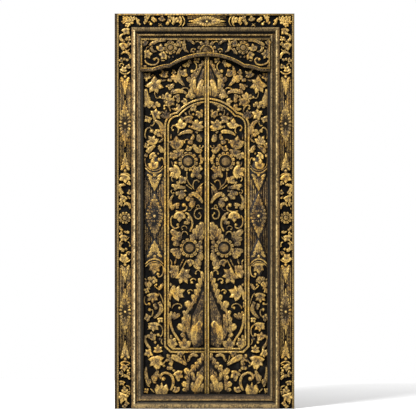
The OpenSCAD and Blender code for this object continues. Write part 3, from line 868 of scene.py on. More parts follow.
def arc_points(x: float, z: float, radius: float, first: float, last: float,
               count: int) -> list[Point]:
    """Points of an arc, from one angle in degrees to another."""
    turns = [math.radians(first + (last - first) * step / count) for step in range(count + 1)]
    return [(x + radius * math.cos(turn), z + radius * math.sin(turn)) for turn in turns]


# Each half lotus: its name, plain field, spine, shells and petals, as lotus() takes them.
LOTUSES = (
    ("lotus_top",
     ((54, 1735), (58, 1739), (60, 1790), (54, 1822), (38, 1860), (24, 1892), (14, 1915)),
     ((-80, 1742), (-84, 1790), (-82, 1826), (-62, 1852), (-44, 1886), (-24, 1930)),
     (((-62, 1738), (-96, 1752), 26, 0.75), ((-76, 1752), (-100, 1778), 24, 0.55),
      ((-74, 1790), (-98, 1808), 24, 0.1), ((-72, 1812), (-112, 1846), 34, 0.0),
      ((-68, 1830), (-84, 1866), 26, -0.1), ((-56, 1846), (-70, 1880), 24, -0.05),
      ((-44, 1866), (-54, 1898), 22, -0.1), ((-32, 1886), (-42, 1920), 20, -0.05),
      ((-20, 1908), (-26, 1944), 18, 0.0)),
     (((-50, 1740), (-64, 1842), 24, 0.12, 0.7), ((-44, 1738), (-44, 1800), 22, 0.1, 0.85),
      ((-34, 1738), (-18, 1836), 36, 0.14, 0.8), ((-20, 1738), (-18, 1800), 14, 0.0, 0.3))),
    ("lotus_middle",
     ((70, 344), (76, 348), (90, 400), (96, 460), (90, 516), (70, 552), (48, 598), (28, 644),
      (14, 680)),
     ((-132, 404), (-134, 450), (-126, 506), (-98, 560), (-70, 600), (-50, 650), (-36, 700),
      (-22, 752)),
     (((-118, 398), (-146, 416), 26, 0.6), ((-112, 430), (-164, 466), 44, 0.62),
      ((-112, 470), (-138, 508), 28, 0.55), ((-104, 500), (-132, 546), 26, 0.5),
      ((-84, 548), (-116, 598), 44, 0.6), ((-62, 584), (-80, 636), 30, 0.6),
      ((-48, 616), (-66, 666), 28, 0.6), ((-38, 646), (-56, 698), 28, 0.55),
      ((-28, 676), (-44, 728), 26, 0.6), ((-20, 706), (-30, 766), 22, 0.7)),
     (((-80, 372), (-94, 530), 34, 0.12, 0.0), ((-78, 372), (-68, 520), 30, -0.05, -0.1),
      ((-72, 380), (-44, 488), 26, -0.12, 0.0), ((-60, 350), (-24, 484), 58, 0.22, 0.75))),
    ("lotus_foot",
     ((76, 82), (80, 86), (82, 130), (74, 166), (52, 198), (28, 230), (14, 255)),
     ((-108, 92), (-106, 140), (-100, 188), (-76, 222), (-50, 250), (-26, 292)),
     (((-108, 96), (-136, 108), 24, 0.5), ((-98, 118), (-138, 144), 36, 0.7),
      ((-94, 156), (-122, 180), 26, 0.6), ((-88, 180), (-124, 222), 38, 0.6),
      ((-66, 204), (-82, 244), 28, 0.6), ((-48, 222), (-62, 260), 26, 0.65),
      ((-32, 240), (-46, 278), 26, 0.6), ((-20, 262), (-26, 310), 22, 0.7)),
     (((-66, 150), (-78, 204), 24, 0.1, 0.3), ((-60, 152), (-48, 206), 24, -0.1, 0.35),
      ((-56, 160), (-30, 186), 22, 0.1, 0.4), ((-58, 88), (-74, 148), 34, 0.16, 0.5),
      ((-44, 88), (-20, 184), 44, 0.18, 0.6), ((-26, 88), (-18, 140), 20, 0.1, 0.3))),
)


@dataclass
class LeafCarving:
    """All carving on the front of one leaf."""

    side: int
    body: str
    finishes: dict[str, bpy.types.Material]
    reed_a: float = 240.0
    panel_foot: float = 308.0
    shoulder: Point = (-160.0, 1576.0)
    shoulder_r: float = 80.0
    arch: Point = (0.0, 1512.0)
    arch_r: float = 222.0
    foot_x: float = -12.0
    foot_bevel: float = 34.0
    strip_x: float = -292.0
    strip_z: float = 1073.0
    lotus_x: float = 12.5

    def start(self, part: str, seed: int) -> Carving:
        """Starts one carved piece of this leaf."""
        return Carving(f"{self.body}_{part}", LEAF_FIELDS[self.side], self.side, seed)

    def panel_line(self, inset: float) -> list[Point]:
        """The reeded panel's line, shrunk from its outer edge, from the foot to the crown."""
        radius, wide = self.shoulder_r - inset, self.arch_r - inset
        shoulder, arch = Vector(self.shoulder), Vector(self.arch)
        gap = (arch - shoulder).length
        along = (radius ** 2 - wide ** 2 + gap ** 2) / (2 * gap)
        off = math.sqrt(radius ** 2 - along ** 2)
        unit = (arch - shoulder) / gap
        cusp = shoulder + unit * along + Vector((-unit.y, unit.x)) * off
        first = math.degrees(math.atan2(cusp.y - shoulder.y, cusp.x - shoulder.x))
        second = math.degrees(math.atan2(cusp.y - arch.y, cusp.x - arch.x))
        foot = self.panel_foot + inset
        edge = -self.reed_a + inset
        bevel = self.foot_bevel - inset * 0.4
        return [(self.foot_x, foot), (edge + bevel, foot), (edge, foot + bevel),
                *arc_points(*self.shoulder, radius, 180.0, first, 9),
                *arc_points(*self.arch, wide, second, 93.0, 14)[1:]]

    def reeds(self) -> None:
        """Lays the reeds of the inner panel and the bead at the meeting edge."""
        reeds = self.start("panel_reeds", 11)
        reeds.run(self.panel_line(6.8), 12.5, 0.25, 0.84)
        reeds.run(self.panel_line(24.5), 10.5, 0.3, 0.72)
        reeds.piece(self.finishes["reed"], self.body)
        bead = Carving(f"{self.body}_meeting_bead", Field(55.5, 36.0), self.side, 12)
        bead.run([(-8.0, 82.0), (-8.0, 2056.0)], 8.5, 0.85 if self.side > 0 else 0.5, 1.0)
        bead.piece(self.finishes["reed"], self.body)
        for part, field, gap in (("outer", Field(52.0, 44.0), 0.4),
                                 ("inner", Field(66.0, 55.0), 0.06)):
            lip = Carving(f"{self.body}_meeting_lip_{part}", field, self.side, 13)
            lip.run([(-gap - 2.0, 66.0), (-gap - 2.0, 2110.0)], 4.0, 0.4, 1.0, 1.0)
            lip.piece(self.finishes["lip"], self.body)

    def top_field(self, c: Carving) -> None:
        """Foliage over the panel's arch."""
        c.leaf(-57, 1943, 34, 80, 4, 260, 0.55)
        c.lobes(
            (-88, 1938, -138, 1912, 20, 0.7, 0.08), (-98, 1938, -124, 1903, 15, 0.7),
            (-96, 1930, -106, 1903, 15, 0.75), (-86, 1922, -102, 1945, 20, 0.5))
        c.curl([(-76, 1936), (-60, 1920), (-57, 1900), (-66, 1884), (-82, 1881)], 9, 11, 0.5)
        c.frond([(-118, 1792), (-140, 1822), (-156, 1855), (-150, 1895), (-143, 1912)], 19, [], 0.4,
                Outline.SICKLE)
        c.leaf(-128, 1872, 40, 60, 3, 150, 0.45)
        c.lobe((-145, 1862), (-108, 1868), 18, tone=0.45)
        c.leaves((-184, 1876, 26, 100, 3, 200, 0.6), (-238, 1864, 46, 75, 4, 190, 0.5))
        c.lobe((-245, 1880), (-262, 1898), 12, tone=0.2)
        c.frond([(-122, 1796), (-150, 1826), (-172, 1846), (-205, 1842)], 30,
                [(-206, 1836, 15), (-185, 1850, 13), (-172, 1828, 12)], 0.62)
        c.frond([(-178, 1812), (-205, 1800), (-222, 1803)], 14, [(-222, 1800, 9)], 0.45)
        c.frond([(-180, 1812), (-196, 1798), (-192, 1782)], 26,
                [(-205, 1786, 11), (-188, 1776, 11)], 0.5)
        c.leaves((-290, 1802, 86, -43, 6, 256, 0.75), (-332, 1852, 44, 95, 4, 210, 0.5))
        c.lobes((-325, 1862, -335, 1822, 16, 0.55, -0.1), (-312, 1852, -296, 1862, 13, 0.5))
        c.lobe((-256, 1826), (-226, 1832), 13, tone=0.5, outline=Outline.POINTED)
        c.curl([(-100, 1778), (-115, 1788), (-132, 1786), (-138, 1780)], 8, 6, 0.5)
        c.frond([(-108, 1752), (-135, 1768), (-165, 1770), (-195, 1758)], 26, [(-192, 1762, 11)],
                0.6)
        c.frond([(-150, 1752), (-168, 1742), (-178, 1732)], 18,
                [(-180, 1733, 11), (-160, 1716, 11)], 0.55)
        c.lobe((-158, 1748), (-160, 1712), 22, tone=0.6)
        c.leaves(
            (-205, 1712, 54, -100, 5, 220, 0.12), (-213, 1748, 32, 60, 2, 70, 0.3),
            (-240, 1738, 28, 120, 3, 160, 0.4))
        c.lobe((-232, 1730), (-236, 1704), 14, tone=0.35)
        c.curl([(-292, 1768), (-289, 1745), (-278, 1730), (-260, 1736)], 7, 9, 0.4)
        c.frond([(-341, 1788), (-338, 1750), (-330, 1712), (-336, 1680)], 36,
                [(-338, 1690, 16), (-322, 1684, 11), (-325, 1730, 10)], 0.62)
        c.frond([(-338, 1718), (-315, 1706), (-292, 1698)], 22,
                [(-302, 1690, 11), (-292, 1682, 10), (-280, 1700, 12), (-270, 1692, 12)], 0.72)
        c.frond([(-96, 1780), (-94, 1755), (-100, 1728)], 30, [(-106, 1740, 12), (-88, 1735, 12)],
                0.72)

    def upper_strip(self, c: Carving) -> None:
        """Foliage of the outer strip, over its lozenge."""
        c.leaf(-285, 1640, 58, 20, 5, 240, 0.5)
        c.lobe((-300, 1642), (-318, 1640), 10, tone=0.45, outline=Outline.POINTED)
        c.leaf(-228, 1638, 50, 85, 5, 180, 0.12)
        c.curl([(-203, 1652), (-207, 1672), (-220, 1690), (-238, 1688), (-236, 1672)], 11, 8, 0.4)
        c.frond([(-200, 1672), (-172, 1668), (-156, 1678), (-156, 1700)], 20, [(-163, 1690, 10)],
                0.55, Outline.SICKLE)
        c.leaves((-128, 1712, 34, 180, 3, 120, 0.4), (-328, 1612, 42, 250, 4, 230, 0.5))
        c.curl([(-296, 1607), (-294, 1590), (-303, 1577), (-311, 1577)], 8, 5, 0.4)
        c.frond([(-298, 1612), (-262, 1588), (-248, 1556), (-246, 1522)], 30,
                [(-282, 1536, 13), (-268, 1524, 11), (-250, 1520, 9)], 0.5)
        c.frond([(-250, 1550), (-272, 1548), (-292, 1546)], 20,
                [(-290, 1540, 10), (-268, 1526, 11)], 0.6)
        c.curl([(-338, 1500), (-346, 1525), (-338, 1556), (-318, 1566), (-308, 1548)], 11, 12, 0.35)
        c.leaf(-304, 1497, 54, 100, 4, 150, 0.65)
        c.lobe((-305, 1485), (-283, 1482), 20, tone=0.6)
        c.frond([(-243, 1512), (-252, 1495), (-275, 1482)], 12, [], 0.4, Outline.SICKLE)
        c.leaf(-337, 1466, 32, 160, 4, 260, 0.4)
        c.frond([(-283, 1470), (-312, 1450), (-338, 1422)], 28,
                [(-340, 1412, 12), (-322, 1436, 10)], 0.42)
        c.leaf(-300, 1408, 40, -40, 4, 170, 0.72)
        c.lobe((-310, 1418), (-312, 1398), 14, tone=0.7)
        c.frond([(-272, 1468), (-258, 1450), (-245, 1424)], 26,
                [(-262, 1452, 11), (-246, 1436, 10)], 0.85)
        c.boss(-272, 1421, 6.5, 0.6, 0.8)
        c.curl([(-240, 1355), (-240, 1380), (-250, 1397), (-266, 1388)], 9, 11, 0.5)
        c.leaf(-300, 1364, 52, 100, 3, 110, 0.68)
        c.lobe((-300, 1345), (-282, 1372), 22, tone=0.7)
        c.stem([(-344, 1400), (-345, 1372), (-336, 1350)], 9, 0.25, 0.7)

    def medallion(self, m: Carving) -> None:
        """The lozenge and its spears in the outer strip, over a reeded ground."""
        x, z = self.strip_x, self.strip_z
        for reed, tone in ((-343, 0.1), (-333, 0.35), (-322, 0.2), (-309, 0.3), (-273, 0.3),
                           (-262, 0.45), (-251, 0.25), (-244, 0.05)):
            m.run([(reed, 838.0), (reed, 1308.0)], 8.5, tone, 0.42, 0.62)
        for sign, middle in ((1, 1345.0), (-1, 800.0)):
            for drop, wide, tone in ((0.0, 11.0, 0.5), (-15.0, 8.0, 0.35)):
                m.stem([(-347, middle - sign * drop), (-322, middle - sign * (drop + 24)),
                        (x, middle - sign * (drop + 33)), (-262, middle - sign * (drop + 24)),
                        (-240, middle - sign * drop)], wide, tone, 0.95)
        for sign, base in ((-1, 1314.0), (1, 836.0)):
            tip = base + sign * 104
            self.bed(m, x, base + sign * 6, 122.0, 66.0)
            m.lobe((x, base + sign * 20), (x, tip), 34, outline=Outline.POINTED, tone=0.75,
                   lift=0.92)
            for reach, rise, size in ((43, 8, 18), (33, 27, 18), (24, 45, 17), (15, 62, 15)):
                for hand in (-1, 1):
                    m.lobe((x + hand * 4, base + sign * (rise + 26)),
                           (x + hand * reach, base + sign * rise), size, tone=0.7, lift=0.86,
                           foot_shine=0.6)
            m.boss(x, base + sign * 12, 13, 0.5, 0.85, 0.9, 0.4)
        for hand in (-1, 1):
            for way in (-1, 1):
                m.stem([(x, z + way * 128), (x + hand * 16, z + way * 150),
                        (x + hand * 34, z + way * 182)], 4.0, 0.0, 0.5, shine=0.0)
        self.lozenge(m)

    def bed(self, m: Carving, x: float, z: float, tall: float, wide: float) -> None:
        """Sinks a dark diamond into the reeds, for a lozenge or a spear to stand in."""
        heights = (-tall, 2 - tall, 0.0, tall - 2, tall)
        m.strip([Vector((x, z + rise)) for rise in heights], [1.0, 2.0, wide, 2.0, 1.0], [0.62] * 5,
                [0.0] * 5, -0.5, True)

    def lozenge(self, m: Carving) -> None:
        """The lozenge itself: stepped petals round a boss in a dark ring."""
        x, z = self.strip_x, self.strip_z
        self.bed(m, x, z, 152.0, 76.0)
        for way in (-1, 1):
            m.lobe((x, z + way * 30), (x, z + way * 128), 30, outline=Outline.POINTED, tone=0.5,
                   lift=0.9, foot_shine=0.1)
            for reach, rise, size in ((12, 96, 16), (21, 78, 18), (31, 57, 20), (41, 35, 20),
                                      (49, 12, 20)):
                for hand in (-1, 1):
                    m.lobe((x + hand * (8 + reach * 0.22), z + way * (rise * 0.55)),
                           (x + hand * reach, z + way * rise), size, tone=0.5, lift=0.88,
                           foot_shine=0.15)
        m.ring(x, z, 20, 36, 12, 13, tone=0.2, lift=0.95)
        m.boss(x, z, 20, -0.4, 0.75, 0.1)
        m.boss(x, z, 10.5, 0.95, 1.02, 1.0, 0.2)

    def lower_strip(self, c: Carving) -> None:
        """Foliage of the outer strip, under its lozenge."""
        c.leaf(-292, 786, 66, -95, 5, 210, 0.4)
        c.lobes((-285, 800, -268, 790, 28, 0.7), (-292, 790, -292, 756, 26, 0.8))
        c.curl([(-246, 800), (-242, 770), (-252, 740), (-270, 734), (-273, 748)], 10, 10, 0.45)
        c.frond([(-338, 672), (-322, 690), (-310, 704)], 30,
                [(-318, 722, 13), (-296, 724, 12), (-286, 712, 11), (-300, 705, 11)], 0.65)
        c.frond([(-312, 662), (-332, 680), (-344, 712)], 16, [(-342, 715, 9)], 0.3)
        c.curl([(-268, 664), (-280, 672), (-292, 684), (-282, 690)], 7, 7, 0.6)
        c.frond([(-274, 660), (-260, 672), (-248, 696)], 18, [(-262, 672, 10), (-250, 690, 8)], 0.6)
        c.leaves((-336, 656, 30, 200, 4, 250, 0.5), (-303, 620, 60, -88, 5, 200, 0.6))
        c.stem([(-272, 645), (-258, 630), (-246, 600), (-243, 580)], 8, 0.25, 0.7)
        c.curl([(-344, 628), (-350, 600), (-340, 580), (-322, 583)], 9, 9, 0.3)
        c.frond([(-300, 500), (-272, 522), (-254, 552), (-262, 590)], 24,
                [(-290, 574, 11), (-284, 560, 10), (-262, 584, 12), (-256, 566, 10)], 0.4)
        c.curl([(-311, 508), (-302, 528), (-303, 548), (-320, 550)], 8, 10, 0.45)
        c.leaf(-332, 506, 40, 150, 4, 240, 0.45)
        c.lobe((-335, 500), (-320, 492), 14, tone=0.7)
        c.leaves((-260, 494, 34, -85, 4, 220, 0.75), (-298, 458, 58, -93, 5, 210, 0.65))
        c.lobe((-298, 470), (-328, 452), 20, tone=0.85)
        c.curl([(-270, 472), (-250, 450), (-247, 420), (-258, 402), (-272, 410)], 9, 10, 0.5)
        c.leaf(-306, 402, 50, 60, 4, 200, 0.6)
        c.lobe((-308, 400), (-286, 388), 18, 0.1, tone=0.5)
        c.frond([(-343, 412), (-344, 380), (-330, 350), (-312, 332)], 17, [(-340, 400, 9)], 0.45)
        c.boss(-288, 368, 9, 0.5, 0.8)
        c.lobe((-252, 395), (-268, 382), 15, tone=0.15)
        c.stem([(-250, 392), (-254, 370), (-244, 352)], 9, 0.3)
        c.leaves((-272, 328, 48, 92, 5, 210, 0.85), (-326, 308, 46, 200, 5, 260, 0.65))

    def foot_field(self, c: Carving) -> None:
        """Foliage under the panel."""
        c.leaf(-284, 262, 78, -85, 5, 200, 0.7)
        c.lobes(
            (-272, 260, -276, 218, 36, 0.85), (-290, 265, -318, 240, 20, 0.8, 0.1),
            (-262, 300, -262, 262, 26, 0.3))
        c.frond([(-108, 238), (-140, 262), (-170, 280), (-205, 292)], 34,
                [(-215, 292, 11), (-205, 272, 12), (-222, 268, 8)], 0.62)
        c.frond([(-190, 268), (-200, 250), (-207, 238)], 24, [(-207, 232, 19)], 0.7)
        c.curl([(-218, 270), (-232, 262), (-246, 244), (-238, 236)], 10, 7, 0.35)
        c.leaf(-160, 188, 52, -70, 4, 200, 0.6)
        c.lobes(
            (-175, 202, -190, 215, 16, 0.6), (-160, 182, -158, 150, 22, 0.45),
            (-170, 205, -150, 202, 22, 0.75))
        c.curl([(-206, 96), (-192, 120), (-187, 150), (-198, 182), (-228, 198), (-252, 190),
                (-258, 170), (-243, 164)], 17, 13, 0.5)
        c.stem([(-198, 182), (-228, 201), (-252, 192)], 10, 0.9, 1.0)
        c.leaf(-252, 112, 64, 90, 3, 60, 0.6)
        c.lobes((-258, 92, -286, 112, 24, 0.65, 0.2), (-246, 92, -220, 112, 24, 0.65, -0.2))
        c.frond([(-272, 215), (-282, 190), (-292, 165), (-288, 148)], 32,
                [(-300, 172, 11), (-272, 184, 10), (-290, 150, 12)], 0.45)
        c.frond([(-338, 238), (-340, 195), (-330, 150), (-318, 128)], 24,
                [(-322, 150, 13), (-322, 132, 12), (-338, 172, 10)], 0.4)
        c.stem([(-318, 112), (-300, 95), (-292, 86)], 9, 0.25)
        c.leaves((-338, 98, 30, 170, 4, 240, 0.3), (-172, 106, 34, 120, 3, 140, 0.3))
        c.lobe((-180, 88), (-160, 100), 18, tone=0.2)
        c.frond([(-98, 262), (-96, 286), (-76, 300), (-45, 288)], 18, [(-100, 268, 9)], 0.6)
        c.stem([(-128, 298), (-124, 275), (-112, 252)], 8, 0.3)
        c.leaf(-145, 302, 34, -80, 3, 160, 0.25)

    def panel_upper(self, c: Carving) -> None:
        """Foliage in the head of the panel."""
        c.leaves((-72, 1672, 36, -50, 3, 150, 0.5), (-45, 1640, 40, -120, 4, 200, 0.65))
        c.lobes(
            (-30, 1640, -28, 1668, 18, 0.5), (-30, 1650, -28, 1622, 14, 0.35),
            (-30, 1700, -62, 1690, 11, 0.2))
        c.curl([(-96, 1668), (-99, 1650), (-90, 1634), (-76, 1640)], 8, 8, 0.35)
        c.lobes((-122, 1652, -112, 1632, 13, 0.1), (-146, 1630, -128, 1608, 16, 0.1))
        c.leaf(-103, 1612, 50, -85, 4, 200, 0.4)
        c.boss(-97, 1572, 8, 0.3, 0.8)
        c.lobe((-54, 1560), (-62, 1612), 24, tone=0.65)
        c.leaves((-54, 1580, 62, 90, 5, 190, 0.62), (-146, 1586, 52, 95, 3, 150, 0.8))
        c.lobes((-140, 1572, -120, 1576, 16, 0.7), (-145, 1575, -160, 1572, 16, 0.25))
        c.curl([(-164, 1530), (-158, 1552), (-166, 1572), (-186, 1578), (-196, 1564), (-189, 1552)],
               10, 7, 0.45)
        c.lobe((-60, 1550), (-20, 1552), 12, outline=Outline.POINTED, tone=0.6)
        c.frond([(-165, 1520), (-135, 1538), (-100, 1545), (-76, 1538)], 22, [(-82, 1540, 9)], 0.68)
        c.frond([(-80, 1535), (-76, 1512), (-92, 1495)], 18, [(-80, 1508, 11)], 0.35)
        c.lobe((-90, 1500), (-94, 1472), 36, tone=0.2)
        c.curl([(-100, 1500), (-115, 1500), (-124, 1492), (-125, 1484)], 8, 7, 0.4)
        c.lobes(
            (-48, 1530, -36, 1485, 34, 0.5), (-50, 1525, -50, 1490, 18, 0.5),
            (-66, 1545, -50, 1535, 13, 0.4))
        c.leaf(-168, 1484, 62, 95, 3, 120, 0.45)
        c.lobes(
            (-168, 1470, -196, 1470, 18, 0.55, 0.1), (-166, 1470, -140, 1468, 22, 0.5),
            (-168, 1475, -165, 1458, 18, 0.6), (-200, 1530, -200, 1500, 10, 0.35))
        c.curl([(-36, 1470), (-40, 1458), (-30, 1452), (-20, 1462)], 9, 6, 0.3)

    def panel_middle(self, c: Carving) -> None:
        """Foliage round the upper flower and down to the panel's middle."""
        c.frond([(-62, 1475), (-66, 1455), (-52, 1440), (-38, 1425)], 30,
                [(-102, 1450, 12), (-70, 1462, 12), (-42, 1432, 12), (-34, 1438, 9)], 0.5)
        c.leaves((-103, 1452, 34, 110, 3, 150, 0.5), (-160, 1428, 52, 130, 4, 170, 0.45))
        c.lobes((-150, 1430, -125, 1440, 14, 0.4), (-165, 1425, -175, 1392, 20, 0.5))
        c.leaf(-190, 1408, 44, 250, 4, 200, 0.55)
        c.lobe((-198, 1400), (-200, 1432), 14, tone=0.5)
        c.frond([(-36, 1420), (-33, 1400), (-28, 1380), (-33, 1360)], 16,
                [(-36, 1405, 10), (-24, 1388, 11), (-34, 1362, 9)], 0.5)
        c.leaf(-40, 1342, 30, 80, 3, 150, 0.5)
        c.boss(-174, 1368, 12, 0.5, 0.9, 0.9)
        c.lobe((-198, 1380), (-188, 1352), 10, tone=0.2)
        c.leaf(-180, 1322, 66, 190, 4, 160, 0.7)
        c.lobes((-172, 1330, -150, 1308, 22, 0.7), (-176, 1325, -174, 1346, 26, 0.65))
        c.leaf(-62, 1314, 60, -10, 4, 220, 0.4)
        c.lobes(
            (-75, 1318, -82, 1288, 24, 0.75), (-60, 1310, -28, 1288, 34, 0.12, -0.1),
            (-45, 1315, -40, 1338, 20, 0.5))
        c.stem([(-110, 1325), (-112, 1295), (-104, 1262), (-84, 1238), (-62, 1214)], 9, 0.15, 0.7)
        c.stem([(-118, 1250), (-100, 1235), (-78, 1220)], 6, 0.35, 0.75)
        c.curl([(-186, 1262), (-197, 1278), (-192, 1292), (-182, 1290)], 8, 7, 0.35)
        c.leaf(-138, 1276, 46, 120, 3, 170, 0.45)
        c.lobe((-130, 1272), (-118, 1256), 14, tone=0.4)
        c.curl([(-72, 1218), (-77, 1242), (-70, 1268), (-52, 1272), (-46, 1264)], 10, 6, 0.25)
        c.lobes(
            (-115, 1230, -200, 1246, 26, 0.68, 0.03), (-140, 1232, -165, 1268, 16, 0.5, 0.15),
            (-145, 1238, -184, 1216, 16, 0.5, -0.1))
        c.curl([(-190, 1222), (-199, 1212), (-194, 1200), (-184, 1202)], 7, 5, 0.3)
        c.lobe((-60, 1205), (-18, 1260), 14, 0.05, tone=0.6, outline=Outline.POINTED)
        c.lobes(
            (-50, 1200, -26, 1240, 16, 0.6), (-42, 1195, -60, 1212, 14, 0.4),
            (-32, 1180, -30, 1228, 14, 0.1), (-140, 1220, -140, 1165, 34, 0.12),
            (-148, 1205, -175, 1195, 26, 0.55), (-132, 1210, -114, 1215, 14, 0.5),
            (-148, 1195, -150, 1165, 24, 0.5), (-130, 1200, -120, 1182, 18, 0.35))
        c.frond([(-22, 1140), (-36, 1168), (-62, 1192), (-92, 1200)], 26,
                [(-90, 1190, 12), (-106, 1168, 13)], 0.62)
        c.lobes((-70, 1165, -108, 1168, 22, 0.45), (-70, 1160, -92, 1122, 40, 0.25))
        c.frond([(-183, 1198), (-202, 1165), (-200, 1128), (-186, 1104)], 20,
                [(-190, 1112, 11)], 0.42)
        c.frond([(-196, 1128), (-172, 1135), (-150, 1138)], 22, [(-152, 1138, 9), (-165, 1122, 9)],
                0.4)
        c.curl([(-178, 1102), (-150, 1096), (-120, 1104), (-112, 1124), (-128, 1134)], 11, 12, 0.55)
        c.stem([(-108, 1102), (-92, 1105), (-80, 1120)], 6, 0.2, 0.7)
        c.curl([(-22, 1112), (-40, 1116), (-62, 1106), (-70, 1085), (-62, 1062), (-42, 1058),
                (-32, 1074), (-42, 1088)], 10, 6, 0.3)
        c.curl([(-40, 1118), (-46, 1134), (-56, 1130), (-58, 1120)], 6, 4, 0.1)
        c.leaf(-153, 1066, 54, -90, 3, 130, 0.6)
        c.lobes((-150, 1082, -132, 1070, 20, 0.7), (-155, 1082, -175, 1072, 20, 0.45))
        c.stem([(-125, 1092), (-105, 1084), (-88, 1062), (-80, 1030), (-88, 1000), (-96, 984)], 14,
               0.45, 0.9)
        c.lobe((-100, 1040), (-118, 1062), 14, tone=0.6, outline=Outline.POINTED)
        c.lobes((-98, 1045, -98, 1072, 22, 0.6), (-92, 1035, -130, 1035, 22, 0.65))
        c.curl([(-188, 1078), (-201, 1055), (-198, 1022), (-178, 1004), (-158, 1012), (-162, 1024)],
               11, 9, 0.35)
        c.curl([(-112, 996), (-114, 1012), (-128, 1018), (-142, 1008), (-136, 998)], 7, 5, 0.25)

    def panel_lower(self, c: Carving) -> None:
        """Foliage round the lower flower and down beside the great lotus."""
        for spec in (((-140, 940), (-202, 996), 30, 0.5), ((-145, 945), (-160, 986), 26, 0.45),
                     ((-150, 930), (-198, 950), 26, 0.4), ((-150, 915), (-190, 920), 24, 0.4),
                     ((-70, 930), (-88, 972), 26, 0.5), ((-60, 940), (-72, 1004), 26, 0.68),
                     ((-50, 945), (-48, 1025), 30, 0.7), ((-42, 950), (-26, 1042), 32, 0.68),
                     ((-40, 945), (-20, 1000), 26, 0.6), ((-42, 935), (-20, 965), 24, 0.4),
                     ((-150, 885), (-205, 876), 24, 0.6), ((-150, 875), (-190, 856), 28, 0.7),
                     ((-150, 880), (-166, 834), 30, 0.7), ((-48, 905), (-30, 935), 20, 0.3),
                     ((-46, 895), (-22, 898), 22, 0.4), ((-46, 880), (-26, 870), 20, 0.45),
                     ((-50, 850), (-20, 858), 26, 0.55), ((-60, 845), (-18, 838), 30, 0.6),
                     ((-60, 840), (-30, 828), 28, 0.6)):
            foot, tip, width, tone = spec
            c.lobe(foot, tip, width * 1.3, tone=tone, lift=0.9, foot_shine=0.3)
        c.stem([(-142, 965), (-134, 984), (-115, 984), (-104, 964)], 9, 0.45, 0.95)
        c.leaf(-90, 810, 40, -110, 3, 150, 0.3)
        c.lobe((-60, 835), (-42, 790), 42, tone=0.45)
        c.lobe((-72, 805), (-34, 785), 22, -0.25, tone=0.8, lift=1.0)
        c.lobe((-50, 812), (-30, 808), 24, tone=0.5)
        c.stem([(-128, 836), (-140, 812), (-152, 786)], 8, 0.25, 0.75)
        c.stem([(-110, 832), (-124, 805), (-136, 782)], 8, 0.3, 0.75)
        c.stem([(-205, 832), (-196, 815), (-198, 796)], 9, 0.4)
        c.lobe((-172, 835), (-180, 802), 12, tone=0.3)
        c.leaf(-182, 768, 62, 160, 4, 190, 0.6)
        c.lobes(
            (-190, 765, -172, 798, 24, 0.7), (-180, 790, -154, 788, 18, 0.7),
            (-196, 762, -190, 726, 22, 0.5))
        c.leaf(-130, 740, 84, -35, 6, 250, 0.45)
        c.curl([(-34, 760), (-46, 770), (-60, 764), (-62, 752)], 8, 7, 0.45)
        c.curl([(-58, 712), (-72, 724), (-90, 716), (-84, 702)], 9, 9, 0.4)
        c.curl([(-76, 652), (-92, 662), (-108, 654), (-100, 644)], 7, 8, 0.4)
        c.lobe((-205, 700), (-196, 680), 14, tone=0.4)
        c.stem([(-206, 600), (-204, 632), (-192, 662), (-178, 688)], 26, 0.62, 1.0, Outline.FROND)
        c.leaf(-164, 644, 74, 22, 5, 190, 0.6)
        c.stem([(-206, 598), (-206, 575), (-202, 560)], 11, 0.35)
        c.curl([(-196, 553), (-188, 572), (-168, 584), (-146, 578), (-140, 564), (-152, 560)], 8, 9,
               0.35)
        c.stem([(-204, 535), (-205, 500), (-200, 462), (-186, 425), (-166, 395), (-146, 366)], 16,
               0.5, 0.95)
        c.lobes(
            (-200, 505, -198, 542, 16, 0.62), (-196, 498, -176, 536, 18, 0.62),
            (-190, 498, -150, 526, 26, 0.3), (-198, 380, -200, 410, 16, 0.45))
        c.leaf(-190, 366, 56, 20, 4, 220, 0.45)
        c.lobes((-200, 368, -178, 338, 26, 0.6), (-205, 370, -196, 345, 24, 0.7))
        c.leaf(-124, 366, 56, 92, 3, 120, 0.45)
        c.lobe((-120, 352), (-148, 346), 16, tone=0.45)

    def blooms(self) -> None:
        """The two large flowers of the panel."""
        b, crowns = self.start("blooms", 41), self.start("bloom_crowns", 42)
        for x, z, crown in ((-104, 1377, 33), (-97, 895, 33)):
            b.flower(x, z, 55, crown, 12, 0.55)
            crowns.boss(x, z, crown * 1.04, 0.0, 1.0, 0.72, 0.45)
        b.piece(self.finishes["carving"], self.body)
        crowns.piece(self.finishes["crown"], self.body)

    def lotus(self, part: str, field: tuple[Point, ...], spine: tuple[Point, ...],
              shells: tuple[tuple, ...], petals: tuple[tuple, ...]) -> None:
        """Carves one half lotus: a plain field, the petals in it and the shells outside it.

        Args:
            part: The piece's name on this leaf.
            field: Half width of the plain field and the height, from its foot to its point.
            spine: The line that the shells spring from.
            shells: Foot, tip, width and tone of each outer shell.
            petals: Foot, tip, width, bend and tone of each inner petal.
        """
        c = self.start(part, 51)
        inner = self.lotus_x
        c.strip([Vector((-(inner + half) / 2, z)) for half, z in field],
                [(half - inner) / 2 for half, z in field], [0.66] * len(field), [0.5] * len(field),
                -0.05, True)
        c.stem(list(spine), 20, 0.55, 0.9, Outline.STEM, 0.3, 0.8)
        for foot, tip, width, tone in shells:
            c.lobe(foot, tip, width, 0.0, Outline.ROUND, tone + 0.1, 0.95, 0.2, 0.4)
        for foot, tip, width, bend, tone in petals:
            c.lobe(foot, tip, width, bend, Outline.ROUND, tone, 1.12, 0.2, 0.5)
        c.piece(self.finishes["carving"], self.body)

    def lotuses(self) -> None:
        """The three half lotuses beside the meeting line."""
        for part, field, spine, shells, petals in LOTUSES:
            self.lotus(part, field, spine, shells, petals)

